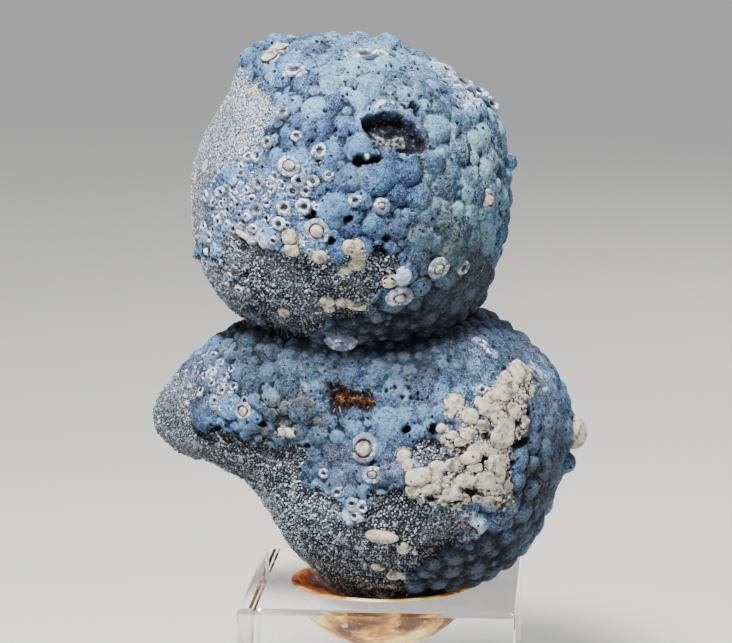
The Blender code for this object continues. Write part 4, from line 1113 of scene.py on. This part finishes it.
def craterProfile(row):
    _, _, wide, high, slant, tall = row
    return wide * pxSize, high * pxSize, slant, tall, 0.60, 0, [
        (0.0, -0.45, 1, 0), (0.22, -0.40, 1, 0), (0.36, -0.20, 0.9, 0.1), (0.46, 0.10, 0.4, 0.7),
        (0.58, 0.30, 0, 1), (0.70, 0.36, 0, 1), (0.82, 0.26, 0, 0.9), (0.94, 0.02, 0.2, 0.65),
        (1.06, -0.35, 0.5, 0.5), (0.7, -1.0, 1, 0), (0.0, -1.1, 1, 0)]


nodules = makeNodules()
rings = turnedPieces("ringNodules", ringNodules, ringProfile, segments=44, rough=0.075)
cups = turnedPieces("tornCups", craters, craterProfile, segments=26, rough=0.17)
print("made nodules, rings and cups")


# Geometry Nodes trees: named inputs, one fixed seed each, ending in real geometry with its material
def growTree(name, inputs):
    tree = bpy.data.node_groups.new(name, "GeometryNodeTree")
    tree.interface.new_socket("Geometry", in_out="INPUT", socket_type="NodeSocketGeometry")
    for label, kind in inputs.items():
        tree.interface.new_socket(label, in_out="INPUT", socket_type="NodeSocket" + kind)
    tree.interface.new_socket("Geometry", in_out="OUTPUT", socket_type="NodeSocketGeometry")
    return tree, tree.nodes.new("NodeGroupInput"), tree.nodes.new("NodeGroupOutput")


# Runs a tree on a mesh and returns the plain mesh object it gives
def grow(name, source, tree, values):
    source.name = name
    modifier = source.modifiers.new("grow", "NODES")
    modifier.node_group = tree
    for item in tree.interface.items_tree:
        if item.in_out == "INPUT" and item.name in values:
            modifier[item.identifier] = values[item.name]
    depsgraph = bpy.context.evaluated_depsgraph_get()
    mesh = bpy.data.meshes.new_from_object(source.evaluated_get(depsgraph), depsgraph=depsgraph)
    source.modifiers.remove(modifier)
    old = source.data
    source.data = mesh
    bpy.data.meshes.remove(old)
    mesh.name = name
    print("grew", name, sum(len(p.vertices) - 2 for p in mesh.polygons), "triangles")
    return source


# A value stored on the points, by its name
def stored(tree, name, kind="FLOAT_VECTOR"):
    return addNode(tree, "GeometryNodeInputNamedAttribute", {"Name": name}, data_type=kind), "Attribute"


# Puts an instance on each point, as real geometry
def realized(tree, points, instance, rotation, scale):
    placed = addNode(tree, "GeometryNodeInstanceOnPoints", {
        "Points": points, "Instance": instance, "Rotation": rotation, "Scale": scale})
    return addNode(tree, "GeometryNodeRealizeInstances", {"Geometry": (placed, "Instances")}), "Geometry"


# The same, turned and sized by what the points carry
def placedByPoints(tree, given, instance):
    turned = addNode(tree, "FunctionNodeAlignRotationToVector", {"Vector": stored(tree, "facing")}, axis="Z")
    return realized(tree, (given, "Geometry"), instance, (turned, "Rotation"), stored(tree, "size"))


def dressFlat(tree, given, geometry, result):
    flat = addNode(tree, "GeometryNodeSetShadeSmooth", {"Geometry": geometry, "Shade Smooth": False})
    dressed = addNode(tree, "GeometryNodeSetMaterial", {
        "Geometry": (flat, "Geometry"), "Material": (given, "Material")})
    tree.links.new(dressed.outputs["Geometry"], result.inputs["Geometry"])
    return tree


# Chunky quartz grains standing on the bare patches
def grainTree(area):
    tree, given, result = growTree(area + "Grains", {
        "Spacing": "Float", "Smallest": "Float", "Largest": "Float", "Seed": "Int", "Material": "Material"})
    spots = addNode(tree, "GeometryNodeDistributePointsOnFaces", {
        "Mesh": (given, "Geometry"), "Distance Min": (given, "Spacing"), "Density Max": 6.0e7,
        "Density Factor": stored(tree, area, "FLOAT"), "Seed": (given, "Seed")}, distribute_method="POISSON")
    grain = addNode(tree, "GeometryNodeMeshIcoSphere", {"Radius": 1.0, "Subdivisions": 1})
    low, high = ((addNode(tree, "ShaderNodeCombineXYZ", {k: (given, end) for k in "XYZ"}), "Vector")
                 for end in ("Smallest", "Largest"))
    size = addNode(tree, "FunctionNodeRandomValue", {
        0: low, 1: high, "Seed": (given, "Seed")}, data_type="FLOAT_VECTOR")
    clump = addNode(tree, "ShaderNodeTexNoise", {"Scale": 1500.0, "Detail": 1.0})
    clumpSize = addNode(tree, "ShaderNodeMapRange", {
        "Value": (clump, "Fac"), "From Min": 0.35, "From Max": 0.65, "To Min": 0.45, "To Max": 1.25})
    scaled = addNode(tree, "ShaderNodeVectorMath", {0: (size, 0), "Scale": (clumpSize, "Result")}, operation="SCALE")
    turn = addNode(tree, "FunctionNodeRandomValue", {
        0: (0.0, 0.0, 0.0), 1: (6.28, 6.28, 6.28), "Seed": 7}, data_type="FLOAT_VECTOR")
    real = realized(tree, (spots, "Points"), (grain, "Mesh"), (turn, 0), (scaled, "Vector"))
    return dressFlat(tree, given, real, result)


def growGrains(name, ball, tree, settings, seed):
    source = newObject("source", ball.data.copy())
    return grow(name, source, tree, {**settings, "Seed": seed, "Material": quartz})


# Sizes in metres
grainSettings = {"Spacing": 0.00036, "Smallest": 0.00009, "Largest": 0.00031}
frostSettings = {"Spacing": 0.00029, "Smallest": 0.00005, "Largest": 0.00018}
coarseGrains, fineGrains = grainTree("druse"), grainTree("frost")
headGrains = growGrains("headGrains", head, coarseGrains, grainSettings, 3)
bodyGrains = growGrains("bodyGrains", body, coarseGrains, grainSettings, 4)
headFrost = growGrains("headFrost", head, fineGrains, frostSettings, 5)
bodyFrost = growGrains("bodyFrost", body, fineGrains, frostSettings, 6)


def pointsObject(points, facing, sizes):
    mesh = bpy.data.meshes.new("points")
    mesh.from_pydata([tuple(p) for p in intoWorld(np.array(points)) * mm], [], [])
    for name, values in (("facing", intoWorld(np.array(facing))), ("size", np.array(sizes) * mm)):
        layer = mesh.attributes.new(name, "FLOAT_VECTOR", "POINT")
        layer.data.foreach_set("vector", np.asarray(values, np.float32).ravel())
    return newObject("points", mesh)


# Short open tubes with white mouths: how far apart in px, how much they lean, sizes in mm and in tube radii
tubeSettings = {
    "seed": 31, "apart": 5, "lean": 0.28, "smallest": 0.15, "spread": 0.42,
    "Rim Radius": 0.75, "Lip Radius": 0.25, "Depth": 1.2,
}


def tubeMaterial(name, *stops):
    s = Paint(name)
    return s.finish(s.ramp(s.noise(1500), *stops), Roughness=0.6)


def tubeTree():
    tree, given, result = growTree("tubes", {
        "Rim Radius": "Float", "Lip Radius": "Float", "Depth": "Float", "Wall": "Material", "ShadeDisc": "Material"})
    rim = addNode(tree, "GeometryNodeCurvePrimitiveCircle", {"Resolution": 10, "Radius": (given, "Rim Radius")})
    section = addNode(tree, "GeometryNodeCurvePrimitiveCircle", {"Resolution": 5, "Radius": (given, "Lip Radius")})
    ring = addNode(tree, "GeometryNodeCurveToMesh", {"Curve": (rim, "Curve"), "Profile Curve": (section, "Curve")})
    wall = addNode(tree, "GeometryNodeMeshCone", {
        "Vertices": 10, "Radius Top": 0.95, "Radius Bottom": 1.25, "Depth": (given, "Depth")}, fill_type="NONE")
    lowered = addNode(tree, "GeometryNodeTransform", {"Geometry": (wall, "Mesh"), "Translation": (0.0, 0.0, -1.2)})
    # a near-black disc sunk inside each tube's mouth: painted shade inside the tube
    hole = addNode(tree, "GeometryNodeMeshCircle", {"Vertices": 10, "Radius": 0.72}, fill_type="NGON")
    sunk = addNode(tree, "GeometryNodeTransform", {"Geometry": (hole, "Mesh"), "Translation": (0.0, 0.0, -0.22)})
    white, whole = addNode(tree, "GeometryNodeJoinGeometry"), addNode(tree, "GeometryNodeJoinGeometry")
    for part, output in ((ring, "Mesh"), (lowered, "Geometry")):
        tree.links.new(part.outputs[output], white.inputs["Geometry"])
    for part, material in ((white, "Wall"), (sunk, "ShadeDisc")):
        dressed = addNode(tree, "GeometryNodeSetMaterial", {
            "Geometry": (part, "Geometry"), "Material": (given, material)})
        tree.links.new(dressed.outputs["Geometry"], whole.inputs["Geometry"])
    real, output = placedByPoints(tree, given, (whole, "Geometry"))
    tree.links.new(real.outputs[output], result.inputs["Geometry"])
    return tree


def makeTubes():
    rng = np.random.default_rng(tubeSettings["seed"])
    kept = []
    for x, y, r, count in tubeAreas:
        for _ in range(count):
            a, d = rng.uniform(0, 2 * math.pi), r * math.sqrt(rng.uniform(0, 1))
            spot = (x + d * math.cos(a), y + d * math.sin(a))
            if all(math.dist(spot, k) > tubeSettings["apart"] for k in kept):
                kept.append(spot)
    places, normals = onStone(kept)
    tilt = normals + rng.normal(size=normals.shape) * tubeSettings["lean"]
    tilt /= np.linalg.norm(tilt, axis=1, keepdims=True)
    sizes = tubeSettings["smallest"] + tubeSettings["spread"] * rng.random((len(places), 1)) ** 2.2 * np.ones(3)
    sizes[:, :2] *= rng.uniform(0.75, 1.25, (len(places), 2))
    sizes[:, 2] *= rng.uniform(0.6, 1.2, len(places))
    source = pointsObject(places + normals * rng.uniform(-0.05, 0.12, (len(places), 1)), tilt, sizes)
    wall = tubeMaterial(
        "tubeWall", (0.38, (0.08, 0.13, 0.25)), (0.52, (0.33, 0.39, 0.51)), (0.64, (0.66, 0.70, 0.75)))
    shadeDisc = tubeMaterial("tubeShadeDisc", (0.0, (0.006, 0.006, 0.010)), (1.0, (0.030, 0.034, 0.050)))
    made = grow("whiteTubes", source, tubeTree(), {**tubeSettings, "Wall": wall, "ShadeDisc": shadeDisc})
    points = np.empty(len(made.data.vertices) * 3)
    made.data.vertices.foreach_get("co", points)
    points = shaken(points.reshape(-1, 3) / mm, 2.1)
    made.data.vertices.foreach_set("co", (points * mm).ravel())
    return made


tubes = makeTubes()

# The tuft of brown needles: thickness and lengths in mm, end radii as shares of the thickness
tuftSettings = {"seed": 41, "count": 620, "thick": 0.055, "shortest": 0.40, "longest": 1.05, "Tip": 0.25, "Foot": 1.0}


def tuftMaterial():
    s = Paint("brownNeedles")
    level = s.add(s.times(s.read("core"), 0.34), s.times(s.noise(1600), 0.80))
    return s.finish(s.ramp(
        level, (0.44, (0.006, 0.003, 0.002)), (0.54, (0.035, 0.011, 0.003)), (0.66, (0.17, 0.060, 0.014)),
        (0.80, (0.66, 0.46, 0.28))), Roughness=0.35)


def needleTree():
    tree, given, result = growTree("needles", {"Tip": "Float", "Foot": "Float", "Material": "Material"})
    needle = addNode(tree, "GeometryNodeMeshCone", {
        "Vertices": 4, "Side Segments": 2, "Depth": 1.0,
        "Radius Top": (given, "Tip"), "Radius Bottom": (given, "Foot")})
    return dressFlat(tree, given, placedByPoints(tree, given, (needle, "Mesh")), result)


# Needles fan out from the tuft's middle line
def makeTuft():
    rng = np.random.default_rng(tuftSettings["seed"])
    count = tuftSettings["count"]
    along, across = rng.random(count), np.clip(rng.normal(size=count), -1.4, 1.4)
    halfWidth = 9.5 - 5.0 * along + 1.6 * np.sin(along * 9)
    places, normals = onStone(np.stack([330 + 45 * along, 395.5 + 6 * along + across * halfWidth * 0.75], -1))
    facing, sizes, core = [], [], []
    for start, side, n in zip(along, across, normals):
        u, v = surfaceAxes(n, 0)
        turn = rng.uniform(0, 2 * math.pi)
        end = 1.0 if start < 0.15 else 0.0
        d = n * 0.75 + u * (0.7 * math.cos(turn) - end) - v * (side * 0.8 - 0.5 * math.sin(turn))
        facing.append(d / np.linalg.norm(d))
        length = rng.uniform(tuftSettings["shortest"], tuftSettings["longest"]) * (1.1 - 0.35 * start)
        sizes.append((tuftSettings["thick"], tuftSettings["thick"], length))
        core.append(np.clip(1 - abs(side) * 0.9 - end * 0.6, 0, 1) * rng.uniform(0.4, 1))
    source = pointsObject(places + normals * 0.05, facing, sizes)
    addValue(source, "core", core)
    return grow("brownTuft", source, needleTree(), {**tuftSettings, "Material": tuftMaterial()})


tuft = makeTuft()


# The clear block keeps its solid. Light is let through it to the bed and the floor
def blockMaterial():
    s = Paint("clearBlock")
    material = s.finish((0.985, 0.990, 0.990), Roughness=0.0, IOR=1.49, Transmission_Weight=1.0)
    path = addNode(s.tree, "ShaderNodeLightPath")
    clear = addNode(s.tree, "ShaderNodeBsdfTransparent", {"Color": (0.90, 0.91, 0.91)})
    mix = addNode(s.tree, "ShaderNodeMixShader", {0: (path, "Is Shadow Ray"), 1: (s.shader, 0), 2: (clear, 0)})
    s.tree.links.new(mix.outputs[0], s.tree.nodes["Material Output"].inputs["Surface"])
    return material


def waxMaterial():
    s = Paint("amberWax")
    # the mottled amber is the wax's own; its brightest yellow patches are painted glow, light seen through the wax
    colour = s.ramp(s.noise(210, 4), (0.38, (0.110, 0.040, 0.010)), (0.47, (0.400, 0.180, 0.045)),
                    (0.55, (0.780, 0.430, 0.110)), (0.64, (1.0, 0.76, 0.32)))
    colour = s.over(s.ramp(s.noise(700, 3), (0.60, 0.0), (0.70, 0.5)), colour, (1.0, 0.80, 0.45))
    return s.finish(
        colour, Roughness=0.40, Specular_IOR_Level=0.04, Subsurface_Weight=1.0, Subsurface_Scale=0.004,
        Subsurface_Radius=(1.0, 0.55, 0.25))


# The bowl's radius, the height of its centre and of the rim, and the rim's inner edge, in mm
waxSettings = {"radius": 12.30, "centre": 25.48, "rim": 20.12, "inner": 10.35, "segments": 128}


# The bed of wax wets the block's hollow, so it has no gap there; its top takes the stone's shape
def makeWax():
    radius, centre, rim, inner, segments = waxSettings.values()
    outer = [(radius * math.sin(a), centre - radius * math.cos(a)) for a in np.linspace(0, 1.1, 30)]
    outer = [(r, z) for r, z in outer if z < rim - 0.3]
    edge = math.sqrt(radius**2 - (centre - rim) ** 2)
    profile = outer + [(edge + 0.06, rim - 0.12), (edge - 0.05, rim), (inner, rim), (inner - 0.23, rim - 0.12)]
    profile += [(r, seatHeight(r)) for r in np.linspace(9.8, 0, 26)]
    points, rings = [], []
    for r, z in profile:
        turns = [0.0] if r < 1e-6 else np.linspace(0, 2 * math.pi, segments, endpoint=False)
        rings.append(list(range(len(points), len(points) + len(turns))))
        points += [(r * math.cos(a), r * math.sin(a), z) for a in turns]
    obj = newMesh("waxBed", np.array(points) * mm, np.array(bridge(rings, inward=True)))
    obj.data.materials.append(waxMaterial())
    return obj


wax = makeWax()
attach(wax, "root")
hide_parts("wax_bed")
clearBlock = blockMaterial()
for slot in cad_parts["display_block"].material_slots:
    slot.link = "OBJECT"
    slot.material = clearBlock

for piece in (head, body, nodules, rings, cups, headGrains, bodyGrains, headFrost, bodyFrost, tubes, tuft):
    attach(piece, "root")
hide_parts("shattuckite")
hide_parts("shattuckite")
print("pieces ride on root")


def makeFloor():
    mesh = bpy.data.meshes.new("floor")
    reach, low = 6, 0.00005  # metres; just clear of the block's underside
    corners = [(x * reach, y * reach, low) for x, y in ((-1, -1), (1, -1), (1, 1), (-1, 1))]
    mesh.from_pydata(corners, [], [(0, 1, 2, 3)])
    mesh.materials.append(Paint("paleFloor").finish((0.62, 0.62, 0.61), Roughness=0.9))
    floor = newObject("floor", mesh)


lightSettings = {  # place in metres from the stone's middle, size, watts, colour
    "key": ((-0.045, -0.150, 0.260), 0.06, 3.1, (1.0, 0.97, 0.94)),
    "side": ((-0.42, -0.24, 0.12), 0.16, 0.8, (0.95, 0.97, 1.0)),
    "fill": ((0.40, -0.35, 0.18), 0.30, 0.30, (0.92, 0.96, 1.0)),
    "rim": ((0.24, 0.34, 0.26), 0.16, 1.2, (1.0, 0.96, 0.90)),
    "ceiling": ((0.0, 1.40, 1.90), 3.0, 30.0, (1.0, 1.0, 1.0)),
}
roomSettings = {"Color": (0.80, 0.82, 0.85, 1), "Strength": 0.20}
middle = Vector((0.0, 0.0, 0.05))


def makeLights():
    for name, (place, size, watts, colour) in lightSettings.items():
        light = bpy.data.lights.new(name, "AREA")
        light.shape, light.size, light.energy, light.color = "DISK", size, watts, colour
        obj = newObject(name, light)
        obj.location = middle + Vector(place)
        obj.rotation_euler = (-Vector(place)).to_track_quat("-Z", "Y").to_euler()
    world = bpy.data.worlds.new("paleRoom")
    world.use_nodes = True
    for k, v in roomSettings.items():
        world.node_tree.nodes["Background"].inputs[k].default_value = v
    bpy.context.scene.world = world


def makeCamera():
    camera = bpy.data.cameras.new("photoCamera")
    camera.sensor_width = 36
    camera.lens = camera.sensor_width * focal / photoView["width"]
    camera.clip_start, camera.clip_end = 0.01, 30
    obj = newObject("photoCamera", camera)
    obj.location = intoWorld(eye[None])[0] * mm
    obj.rotation_euler = Vector(intoWorld(forward[None])[0]).to_track_quat("-Z", "Y").to_euler()
    bpy.context.scene.camera = obj


makeFloor()
makeLights()
makeCamera()
print("floor, lights and camera")
